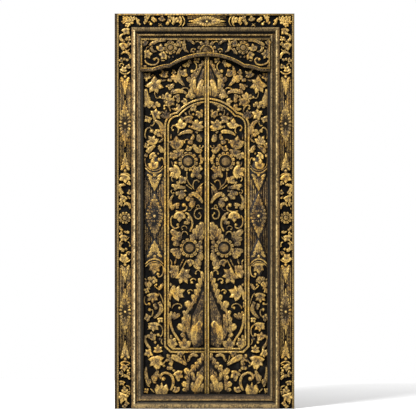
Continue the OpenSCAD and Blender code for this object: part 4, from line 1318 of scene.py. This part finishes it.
    def build(self) -> None:
        """Builds every carved piece of the leaf."""
        self.reeds()
        outer = self.start("outer_foliage", 21)
        self.top_field(outer)
        self.upper_strip(outer)
        self.lower_strip(outer)
        self.foot_field(outer)
        outer.piece(self.finishes["carving"], self.body)
        inner = self.start("panel_foliage", 31)
        self.panel_upper(inner)
        self.panel_middle(inner)
        self.panel_lower(inner)
        inner.piece(self.finishes["carving"], self.body)
        medallion = self.start("strip_medallion", 61)
        self.medallion(medallion)
        medallion.piece(self.finishes["carving"], self.body)
        self.blooms()
        self.lotuses()


@dataclass
class HeaderCarving:
    """The foliage, rosettes and lip of the fixed header board."""

    finishes: dict[str, bpy.types.Material]
    half_width: float = 361.8
    shoulder_z: float = 1879.0
    rise: float = 85.0
    cusp_share: float = 0.575
    shoulder_share: float = 0.83
    lobe_share: float = 0.25

    def lip_line(self, up: float, side: int) -> list[Point]:
        """One half of the arch, raised by so much, from its outer end to the meeting line."""
        lean = -side * (MEET_X - OPENING_X)
        cusp = self.half_width * self.cusp_share
        shoulder = self.half_width * self.shoulder_share
        lobe = self.rise * self.lobe_share
        tall = self.rise - lobe
        radius = (cusp ** 2 + tall ** 2) / (2 * tall)
        sweep = math.degrees(math.asin(cusp / radius))
        top = self.shoulder_z + self.rise
        rises = [(-shoulder + (shoulder - cusp) * t,
                  self.shoulder_z + up + lobe * math.sin(math.radians(90 * t)))
                 for t in (0.25, 0.5, 0.75)]
        line = [(-shoulder, self.shoulder_z + up), *rises,
                *arc_points(0.0, top - radius + up, radius, 90 + sweep, 90.0, 12)]
        return [(-self.half_width + 1, self.shoulder_z + up), *((x + lean, z) for x, z in line)]

    def foliage(self, c: Carving) -> None:
        """Leaves and tendrils of one half of the header."""
        c.leaf(-342, 2038, 34, 130, 4, 200, 0.3)
        c.stem([(-338, 2000), (-334, 2012), (-318, 2016)], 6, 0.2, 0.7)
        c.frond([(-222, 2047), (-262, 2050), (-295, 2038), (-326, 2020)], 20, [(-300, 2040, 8)],
                0.5)
        c.frond([(-300, 2022), (-308, 2008), (-298, 1990), (-276, 1990)], 16, [(-310, 2008, 8)],
                0.42, Outline.SICKLE)
        c.leaf(-258, 2012, 40, 80, 3, 130, 0.5)
        c.stem([(-252, 1998), (-238, 1988), (-232, 1978)], 7, 0.1, 0.6)
        c.leaf(-242, 1966, 44, 200, 4, 200, 0.62)
        c.lobes(
            (-244, 1972, -254, 1986, 12, 0.5), (-235, 1966, -220, 1960, 16, 0.45),
            (-214, 1966, -206, 1952, 13, 0.2), (-192, 1966, -186, 1954, 13, 0.1))
        c.frond([(-172, 1972), (-158, 1988), (-144, 2010)], 18,
                [(-160, 1984, 10), (-142, 2008, 10)], 0.5)
        c.lobe((-172, 2018), (-158, 2026), 14, tone=0.5)
        c.leaf(-150, 2038, 36, 10, 3, 130, 0.3)
        c.lobe((-205, 2040), (-200, 2056), 20, tone=0.1)
        c.frond([(-120, 2062), (-128, 2030), (-120, 1998), (-98, 1982)], 20, [(-124, 2028, 9)], 0.5,
                Outline.SICKLE)
        c.frond([(-112, 2050), (-88, 2046), (-62, 2026)], 15, [], 0.3)
        c.lobe((-106, 2044), (-104, 2062), 14, tone=0.35)
        c.curl([(-90, 1980), (-86, 1998), (-74, 2006), (-66, 2000)], 8, 6, 0.2)
        c.lobe((-86, 1992), (-68, 1984), 12, tone=0.35)
        c.leaf(-330, 1974, 48, 5, 5, 250, 0.66)
        c.lobe((-322, 1970), (-342, 2000), 16, tone=0.4)
        c.curl([(-346, 1945), (-336, 1926), (-306, 1914), (-278, 1920), (-268, 1940), (-280, 1954),
                (-292, 1946)], 12, 9, 0.4)
        c.curl([(-66, 2040), (-52, 2046), (-40, 2040)], 8, 5, 0.3)
        c.lobe((-355, 1905), (-335, 1906), 18, tone=0.25)
        c.stem([(-258, 1938), (-230, 1938)], 8, 0.2, 0.6)

    def middle_rosette(self, c: Carving) -> None:
        """The half rosette over the crown of the arch."""
        c.ring(0, 1986, 40, 58, 4, 22, 180, -90, 0.55)
        c.lobe((-22, 2020), (-36, 2044), 20, tone=0.5)
        c.lobe((-8, 2022), (-1, 2060), 20, outline=Outline.POINTED, tone=0.5)
        c.ring(0, 1986, 30, 42, 5, 17, 176, -86, 0.65, 1.0)
        c.boss(0, 1988, 30, 0.15, 0.95, 0.85, 0.4)

    def build(self) -> None:
        """Builds the header's pieces."""
        for side, hand in ((-1, "left"), (1, "right")):
            c = Carving(f"header_foliage_{hand}", HEADER_FIELD, side, 71)
            self.foliage(c)
            c.piece(self.finishes["header"], "frame")
            r = Carving(f"header_rosettes_{hand}", HEADER_FIELD, side, 72)
            r.flower(-202, 2010, 38, 19, 9, 0.5)
            crown = Carving(f"header_crown_{hand}", HEADER_FIELD, side, 74)
            crown.boss(-202, 2010, 19, 0.1, 1.0, 0.8, 0.3)
            crown.piece(self.finishes["crown"], "frame")
            self.middle_rosette(r)
            r.piece(self.finishes["header"], "frame")
            lip = Carving(f"header_lip_{hand}", Field(14.0, 7.0, OPENING_X), side, 73)
            lip.run(self.lip_line(17.0, side), 5.0, 0.6, 1.0, 0.9)
            lip.run(self.lip_line(7.4, side), 11.0, -0.1, 0.8, 0.6)
            lip.run(self.lip_line(1.8, side), 3.4, 0.4, 0.5, 0.7)
            lip.run([(0.0, 2056.8), (-361.0, 2056.8)], 9.5, 0.3, 0.95, 0.8)
            lip.run([(-356.2, 2050.0), (-356.2, 1905.0)], 9.5, 0.3, 0.95, 0.8)
            lip.piece(self.finishes["lip"], "frame")


@dataclass
class BandCarving:
    """The carving of one side band of the surround."""

    side: int
    hand: str
    finishes: dict[str, bpy.types.Material]
    drawn_middle: float = -453.0

    def start(self, part: str, seed: int) -> Carving:
        """Starts one carved piece of this band."""
        return Carving(f"band_{self.hand}_{part}", BAND_FIELD, self.side, seed)

    def group(self, c: Carving, z: float) -> None:
        """One lozenge between two spears and two arcs, over fine reeds."""
        x = self.drawn_middle
        for reed, tone in ((-480, 0.45), (-471, 0.15), (-462, 0.3), (-441, 0.3), (-433, 0.1),
                           (-426, 0.35)):
            c.run([(reed, z - 246), (reed, z + 246)], 7.0, tone, 0.5, 0.6)
        for way in (-1, 1):
            c.stem([(-484, z + way * 292), (-470, z + way * 281), (x, z + way * 276),
                    (-436, z + way * 281), (-422, z + way * 292)], 10, 0.5, 0.95)
            c.boss(x, z + way * 262, 10, 0.5, 0.85, 0.9, 0.4)
            c.lobe((x, z + way * 250), (x, z + way * 158), 22, outline=Outline.POINTED, tone=0.7)
            for reach, rise, size in ((25, 258, 16), (21, 244, 16), (16, 228, 15), (11, 212, 14)):
                for hand in (-1, 1):
                    c.lobe((x + hand * 3, z + way * (rise - 22)),
                           (x + hand * reach, z + way * rise), size, tone=0.6, lift=0.88,
                           foot_shine=0.6)
            c.lobe((x, z + way * 22), (x, z + way * 134), 20, outline=Outline.POINTED, tone=0.55,
                   foot_shine=0.2)
            for reach, rise, size in ((10, 96, 14), (16, 76, 16), (23, 56, 18), (29, 34, 18),
                                      (33, 12, 16)):
                for hand in (-1, 1):
                    c.lobe((x + hand * (5 + reach * 0.2), z + way * rise * 0.6),
                           (x + hand * reach, z + way * rise), size, tone=0.55, lift=0.9,
                           foot_shine=0.25)
            c.boss(x, z + way * 146, 6, -0.5, 0.5, 0.0)
        c.boss(x, z, 17, -0.4, 0.78, 0.05)
        c.boss(x, z, 9.5, 0.9, 1.05, 1.0, 0.2)

    def upper_leaves(self, c: Carving) -> None:
        """Foliage over the upper lozenge."""
        c.leaf(-448, 2102, 38, -80, 4, 200, 0.5)
        c.frond([(-452, 2092), (-478, 2076), (-476, 2056), (-458, 2046)], 16,
                [(-462, 2046, 9), (-446, 2056, 8)], 0.5)
        c.leaves(
            (-432, 2062, 24, 60, 3, 160, 0.4), (-432, 2032, 18, 100, 3, 160, 0.4),
            (-462, 2016, 38, -100, 3, 170, 0.5))
        c.curl([(-426, 2004), (-436, 1994), (-450, 1995)], 7, 5, 0.3)
        c.frond([(-479, 1970), (-462, 1984), (-438, 1982), (-424, 1962), (-428, 1946)], 15,
                [(-440, 1942, 8), (-456, 1946, 8)], 0.5)
        c.leaf(-476, 1940, 22, 190, 3, 200, 0.4)
        c.curl([(-482, 1898), (-481, 1918), (-468, 1922), (-462, 1914)], 7, 5, 0.4)
        c.leaves((-434, 1906, 24, 70, 3, 190, 0.5), (-460, 1890, 32, 80, 4, 200, 0.7))

    def middle_leaves(self, c: Carving) -> None:
        """Foliage and rosette between the two lozenges."""
        c.leaf(-456, 1285, 50, 240, 4, 200, 0.75)
        c.lobe((-460, 1285), (-434, 1296), 20, tone=0.75)
        c.leaf(-433, 1256, 20, 200, 3, 180, 0.6)
        c.frond([(-447, 1243), (-470, 1246), (-487, 1236), (-478, 1212), (-460, 1196)], 22,
                [(-460, 1246, 9), (-484, 1236, 9)], 0.5)
        c.leaves(
            (-428, 1206, 22, 100, 3, 160, 0.4), (-480, 1192, 18, 190, 3, 180, 0.5),
            (-463, 1170, 36, -110, 4, 200, 0.65))
        c.lobe((-440, 1185), (-424, 1168), 12, tone=0.35)
        c.leaf(-478, 1142, 22, 180, 3, 180, 0.5)
        c.frond([(-466, 1124), (-450, 1142), (-430, 1136), (-424, 1108)], 16, [(-444, 1142, 8)],
                0.45)
        c.stem([(-480, 1120), (-484, 1104)], 8, 0.35)
        c.flower(-455, 1063, 34, 17, 10, 0.5)
        c.boss(-455, 1063, 17, 0.05, 1.0, 0.8, 0.4)
        c.frond([(-482, 1022), (-480, 1004), (-462, 990)], 14, [(-478, 1002, 8)], 0.5)
        c.frond([(-462, 990), (-446, 982), (-426, 984)], 14, [(-440, 984, 8)], 0.65)
        c.leaves((-477, 974, 20, 180, 3, 180, 0.5), (-462, 950, 36, -90, 4, 200, 0.55))
        c.stem([(-428, 958), (-440, 946), (-447, 938)], 7, 0.35)
        c.leaf(-482, 924, 18, 180, 3, 180, 0.4)
        c.curl([(-440, 930), (-428, 922), (-426, 906)], 8, 6, 0.4)
        c.frond([(-463, 926), (-480, 912), (-476, 890), (-452, 882)], 16,
                [(-484, 892, 8), (-466, 882, 9), (-448, 888, 8)], 0.5)
        c.leaves((-434, 866, 20, -80, 3, 180, 0.4), (-460, 842, 42, 90, 4, 200, 0.6))

    def lower_leaves(self, c: Carving) -> None:
        """Foliage under the lower lozenge."""
        c.leaf(-460, 232, 36, -120, 4, 200, 0.5)
        c.stem([(-450, 240), (-436, 246), (-428, 240)], 7, 0.4)
        c.boss(-428, 226, 6, 0.8, 0.85)
        c.boss(-436, 213, 9, 0.5, 0.9)
        c.leaves((-432, 196, 18, -60, 3, 180, 0.4), (-474, 200, 24, 190, 3, 200, 0.45))
        c.frond([(-480, 178), (-458, 186), (-436, 178), (-424, 160)], 15,
                [(-452, 184, 9), (-434, 176, 8)], 0.5)
        c.leaf(-470, 144, 28, -100, 4, 200, 0.5)
        c.stem([(-452, 130), (-430, 122), (-425, 98)], 9, 0.4)
        c.leaves(
            (-456, 106, 30, 95, 3, 150, 0.5), (-433, 88, 18, -60, 3, 180, 0.4),
            (-464, 66, 50, -110, 5, 230, 0.6))
        c.stem([(-480, 42), (-472, 24)], 9, 0.4)
        c.leaves((-442, 30, 22, 0, 3, 180, 0.4), (-458, 14, 20, 180, 3, 180, 0.4))

    def build(self) -> None:
        """Builds the band's pieces."""
        c = self.start("foliage", 81)
        self.upper_leaves(c)
        self.middle_leaves(c)
        self.lower_leaves(c)
        c.piece(self.finishes["band"], "frame")
        for part, z in (("upper_lozenge", 1587.0), ("lower_lozenge", 540.0)):
            g = self.start(part, 82)
            self.group(g, z)
            g.piece(self.finishes["band"], "frame")
        bead = Carving(f"band_{self.hand}_bead", Field(7.6, 0.8, OPENING_X), self.side, 83)
        bead.pearls(-487.0, 3.0, 2195.0, 11.4, 0.45)
        bead.piece(self.finishes["bead"], "frame")


@dataclass
class TopBandCarving:
    """The carving of the surround's top band."""

    finishes: dict[str, bpy.types.Material]
    middle_z: float = 2157.0

    def half(self, c: Carving) -> None:
        """One half of the band, from the corner flower to the lozenge."""
        z = self.middle_z
        c.boss(-431, 2141, 9, 1.0, 1.05)
        for x, height, size, angle in (
                (-447, 2152, 22, 150), (-418, 2157, 24, 40), (-440, 2172, 24, 110),
                (-424, 2176, 20, 80), (-456, 2164, 22, 140), (-444, 2134, 20, 200),
                (-408, 2174, 18, 60), (-460, 2176, 18, 130), (-465, 2154, 18, 170)):
            c.leaf(x, height, size, angle, 3, 140, 0.6)
        c.frond([(-398, 2180), (-386, 2162), (-380, 2136)], 16, [(-382, 2160, 9), (-376, 2140, 8)],
                0.6)
        c.frond([(-350, 2184), (-338, 2172), (-340, 2146)], 18, [(-344, 2150, 9), (-330, 2178, 9)],
                0.6)
        c.leaf(-328, 2184, 22, 20, 3, 160, 0.5)
        c.curl([(-326, 2150), (-318, 2154), (-311, 2142)], 6, 9, 0.6)
        c.frond([(-304, 2184), (-298, 2170), (-282, 2152)], 22, [(-288, 2162, 10), (-300, 2168, 9)],
                0.62)
        c.leaf(-250, 2172, 30, 80, 3, 160, 0.15)
        c.stem([(-272, 2146), (-256, 2134), (-244, 2128)], 6, 0.2, 0.7)
        c.stem([(-250, 2146), (-262, 2134), (-272, 2128)], 6, 0.2, 0.7)
        c.frond([(-214, 2176), (-214, 2156), (-224, 2132)], 16, [(-208, 2160, 9), (-220, 2146, 8)],
                0.5)
        c.leaf(-204, 2182, 20, 70, 3, 160, 0.4)
        c.frond([(-186, 2186), (-184, 2166), (-182, 2142)], 18,
                [(-192, 2172, 8), (-174, 2168, 8), (-186, 2146, 9)], 0.6)
        c.leaf(-154, 2164, 36, 180, 4, 190, 0.5)
        for x, reach in ((-142, 15), (-126, 14)):
            c.stem([(x - reach, z + 30), (x - 2, z + 16), (x + 2, z), (x - 2, z - 16),
                    (x - reach, z - 30)], 8, 0.5, 0.95)
        for drop, tone in ((-24, 0.2), (-15, 0.4), (15, 0.25), (24, 0.4)):
            c.run([(-108, z + drop), (-1, z + drop)], 7, tone, 0.5, 0.6)
        c.lobe((-20, z), (-106, z), 22, outline=Outline.POINTED, tone=0.8, foot_shine=0.4)
        for reach, rise, size in ((76, 7, 14), (58, 13, 16), (42, 20, 17), (24, 26, 17),
                                  (8, 29, 16)):
            for hand in (-1, 1):
                c.lobe((-reach * 0.45, z + hand * 6), (-reach, z + hand * rise), size, tone=0.75,
                       lift=0.9, foot_shine=0.3)

    def build(self) -> None:
        """Builds the top band's pieces."""
        for side, hand in ((-1, "left"), (1, "right")):
            c = Carving(f"band_top_foliage_{hand}", TOP_FIELD, side, 91)
            self.half(c)
            c.piece(self.finishes["band"], "frame")
        eye = Carving("band_top_eye", TOP_FIELD, -1, 92)
        eye.boss(0, self.middle_z - 1, 18, -0.4, 0.78, 0.05)
        eye.boss(0, self.middle_z - 1, 9.5, 0.9, 1.05, 1.0, 0.2)
        eye.piece(self.finishes["band"], "frame")
        bead = Carving("band_top_bead", Field(7.6, 0.8, OPENING_X), -1, 93)
        bead.run([(-486.0, 2194.2), (486.0, 2194.2)], 10.6, 0.4, 1.0, 0.8)
        bead.piece(self.finishes["bead"], "frame")


@dataclass
class Joinery:
    """Dresses the model's own pieces: boards, mouldings, posts, battens, bolt and pegs."""

    nodes: dict[str, bpy.types.Object]
    moulding_a: float = 412.0
    moulding_top: float = 2123.0
    # Colours across the side moulding's profile: gold paint with painted highlights on the crests,
    # painted shade in the cove and a painted shadow along the inner edge.
    side_gilt_painted_light_stops: tuple[tuple[float, Colour], ...] = (
        (0.0, linear(105, 81, 48)), (4.0, linear(123, 96, 57)), (9.0, linear(144, 114, 68)),
        (12.5, linear(178, 146, 91)), (15.0, linear(234, 208, 152)), (18.5, linear(238, 216, 166)),
        (21.0, linear(108, 88, 58)), (26.0, linear(56, 45, 30)), (31.0, linear(140, 110, 68)),
        (35.0, linear(164, 130, 80)), (38.0, linear(66, 53, 36)), (40.0, linear(81, 68, 48)),
        (46.0, linear(196, 174, 136)), (48.5, linear(138, 120, 92)), (51.0, linear(84, 72, 54)),
        (56.0, linear(26, 23, 19)), (60.0, linear(8, 7, 5)))
    # Painted shade: the right moulding takes the left moulding's colours, darkened and warmed by
    # these shares, for the side that faces away from the key light.
    right_painted_shade: Colour = (0.64, 0.61, 0.5)
    # Top moulding: painted shade on the faces that look down and a painted shadow along the inner
    # edge.
    top_gilt_painted_light_stops: tuple[tuple[float, Colour], ...] = (
        (0.0, linear(117, 98, 62)), (5.0, linear(125, 105, 67)), (10.0, linear(94, 76, 45)),
        (20.0, linear(81, 66, 36)), (24.0, linear(40, 33, 20)), (27.0, linear(14, 12, 9)),
        (36.0, linear(26, 21, 14)), (40.5, linear(146, 118, 68)), (45.5, linear(184, 150, 88)),
        (49.0, linear(70, 54, 30)), (52.0, linear(12, 9, 5)))
    # Foot moulding: painted highlights on the faces that look up, painted shade in the cove and a
    # painted shadow along the inner edge.
    foot_gilt_painted_light_stops: tuple[tuple[float, Colour], ...] = (
        (0.0, linear(74, 65, 50)), (8.0, linear(124, 104, 69)), (17.0, linear(147, 123, 78)),
        (24.0, linear(133, 111, 71)), (30.0, linear(98, 85, 62)), (34.0, linear(62, 58, 47)),
        (38.0, linear(27, 26, 26)), (43.0, linear(62, 53, 41)), (48.0, linear(161, 132, 77)),
        (53.0, linear(121, 97, 62)), (58.0, linear(86, 72, 52)), (64.0, linear(114, 93, 67)),
        (69.0, linear(81, 65, 47)), (76.0, linear(34, 26, 20)), (81.0, linear(16, 13, 8)))

    def dress(self, names: list[str], material: bpy.types.Material) -> None:
        """Gives the named nodes a material."""
        for name in names:
            node = self.nodes[name]
            node.data.materials.clear()
            node.data.materials.append(material)
            log.info("%s: %s", name, material.name)

    def build(self) -> None:
        """Dresses every node of the model."""
        self.dress(["leaf_left", "leaf_right"], BoardFinish("leaf_ground", (
            (38.0, linear(104, 86, 52)), (41.0, linear(84, 68, 42)), (45.0, linear(30, 26, 20)),
            (48.5, linear(20, 18, 15)), (60.0, CHARCOAL)), 55.0).make())
        self.dress(["header_panel"], BoardFinish("header_ground", (
            (8.0, linear(96, 80, 50)), (12.0, linear(74, 62, 38)), (15.5, linear(28, 24, 18)),
            (19.4, CHARCOAL), (30.0, CHARCOAL)), 21.5).make())
        self.dress(["band_left", "band_right", "band_top"], BoardFinish("band_ground", (
            (0.0, linear(150, 126, 80)), (4.0, linear(110, 90, 56)), (6.4, linear(60, 50, 36)),
            (7.6, linear(56, 47, 34)), (9.5, linear(44, 36, 24)), (12.5, linear(22, 19, 15)),
            (15.4, CHARCOAL), (30.0, CHARCOAL)), 17.0).make())
        left, right = OPENING_X - self.moulding_a, OPENING_X + self.moulding_a
        # Painted shade: a darkened copy of the side colours, for the right moulding.
        painted_shade_stops = tuple((where, tuple(light * keep for light, keep in zip(chip, self.right_painted_shade)))
                       for where, chip in self.side_gilt_painted_light_stops)
        for node, finish, edge, start, sense, stops in (
                ("moulding_left", "moulding_left_gilt_painted_light", Edge.ACROSS_X, left, 1, self.side_gilt_painted_light_stops),
                ("moulding_right", "moulding_right_painted_light_and_shade", Edge.ACROSS_X, right, -1, painted_shade_stops),
                ("moulding_top", "moulding_top_gilt_painted_light", Edge.UP_Z, self.moulding_top, -1,
                 self.top_gilt_painted_light_stops),
                ("moulding_bottom", "moulding_foot_gilt_painted_light", Edge.UP_Z, 0.0, 1, self.foot_gilt_painted_light_stops)):
            self.dress([node], MouldingGiltAndPaintedLight(finish, edge, start, sense, stops).make())
        dark = (linear(34, 27, 20), linear(64, 50, 36), linear(96, 78, 56))
        pale = (linear(78, 58, 38), linear(122, 94, 64), linear(156, 124, 88))
        plank = (linear(66, 46, 30), linear(108, 80, 54), linear(142, 110, 76))
        battens = [name for name in self.nodes if name.startswith("batten_")]
        for names, finish, stretch, chips in (
                (["jamb_left", "jamb_right"], "post_timber", (90.0, 90.0, 5.0), dark),
                (["sill", "lintel"], "rail_timber", (5.0, 90.0, 90.0), dark),
                (battens, "batten_timber", (6.0, 110.0, 110.0), pale),
                (["bolt_bar", "bolt_guide_outer", "bolt_guide_inner", "bolt_keeper"],
                 "bolt_timber", (8.0, 140.0, 140.0), plank),
                (["bolt_finger_peg", "frame_pegs", "band_dowels", "moulding_dowels",
                  "header_dowels", "guide_pegs", "keeper_pegs"],
                 "peg_timber", (160.0, 12.0, 160.0), pale)):
            self.dress(names, TimberFinish(finish, stretch, *chips).make())


@dataclass
class Studio:
    """A pale floor, soft light and a long-lens camera square on to the front."""

    view_height: float = 2.314
    eye: tuple[float, float, float] = (0.0193, -16.0, 1.1177)
    sensor: float = 36.0
    glow: float = 0.36
    floor_reach: float = 2.6
    aim_z: float = 1.1
    far: float = 100.0
    lamps: tuple[tuple[str, tuple[float, float, float], float, float], ...] = (
        ("key", (-2.6, -4.2, 5.4), 1.8, 720.0), ("fill", (3.0, -4.0, 2.0), 3.0, 40.0),
        ("back", (1.5, 4.5, 3.5), 3.0, 160.0))

    def floor(self) -> None:
        """Lays the floor."""
        bm = bmesh.new()
        bmesh.ops.create_grid(bm, x_segments=2, y_segments=2, size=self.floor_reach)
        mesh = bpy.data.meshes.new("studio_floor")
        bm.to_mesh(mesh)
        bm.free()
        mesh.materials.append(FloorFinish().make())
        made = bpy.data.objects.new("studio_floor", mesh)
        bpy.context.scene.collection.objects.link(made)

    def light(self, name: str, place: tuple[float, float, float], size: float,
              power: float) -> None:
        """Hangs one soft light that faces the door's middle.

        Args:
            name: Its name.
            place: Where it hangs, in metres.
            size: Its width in metres.
            power: Its power in watts.
        """
        lamp = bpy.data.lights.new(name, "AREA")
        lamp.shape = "DISK"
        lamp.size = size
        lamp.energy = power
        made = bpy.data.objects.new(name, lamp)
        made.location = place
        aim = Vector((0.0, 0.0, self.aim_z)) - Vector(place)
        made.rotation_euler = aim.to_track_quat("-Z", "Y").to_euler()
        bpy.context.scene.collection.objects.link(made)

    def room(self) -> bpy.types.World:
        """A white room, dimmer as a light than it looks."""
        world = bpy.data.worlds.new("white_room")
        world.use_nodes = True
        tree = world.node_tree
        seen = tree.nodes.new("ShaderNodeLightPath").outputs["Is Camera Ray"]
        strength = tree.nodes.new("ShaderNodeMapRange")
        tree.links.new(seen, strength.inputs["Value"])
        strength.inputs["To Min"].default_value = self.glow
        background = tree.nodes["Background"]
        background.inputs["Color"].default_value = (1.0, 1.0, 1.0, 1.0)
        tree.links.new(strength.outputs["Result"], background.inputs["Strength"])
        return world

    def build(self) -> None:
        """Sets the world, the lights, the floor and the camera."""
        scene = bpy.context.scene
        scene.view_settings.view_transform = "Standard"
        scene.world = self.room()
        self.floor()
        for lamp in self.lamps:
            self.light(*lamp)
        lens = bpy.data.cameras.new("eye")
        lens.sensor_width = self.sensor
        lens.lens = self.sensor * (-self.eye[1] - FRONT_DEPTH * MM) / self.view_height
        lens.clip_end = self.far
        made = bpy.data.objects.new("eye", lens)
        made.location = self.eye
        made.rotation_euler = (math.pi / 2, 0.0, 0.0)
        scene.collection.objects.link(made)
        scene.camera = made


def main() -> None:
    """Builds the door's looks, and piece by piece."""
    logging.basicConfig(level=logging.INFO, format="%(message)s")
    finishes = {
        "carving": GiltFinish("carved_gilt", -0.055).make(),
        "header": GiltFinish("header_gilt", -0.12).make(),
        "band": GiltFinish("band_gilt", 0.03).make(),
        "reed": GiltFinish("reed_gilt", 0.02).make(),
        "bead": GiltFinish("bead_gilt", 0.02).make(),
        "lip": GiltFinish("lip_gilt", -0.02, 0.05).make(),
        "crown": CrownFinish("crown_gilt").make(),
    }
    Joinery(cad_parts).build()
    for side, body in ((-1, "leaf_left"), (1, "leaf_right")):
        LeafCarving(side, body, finishes).build()
    HeaderCarving(finishes).build()
    for side, hand in ((-1, "left"), (1, "right")):
        BandCarving(side, hand, finishes).build()
    TopBandCarving(finishes).build()
    Studio().build()


if __name__ == "__main__":
    main()
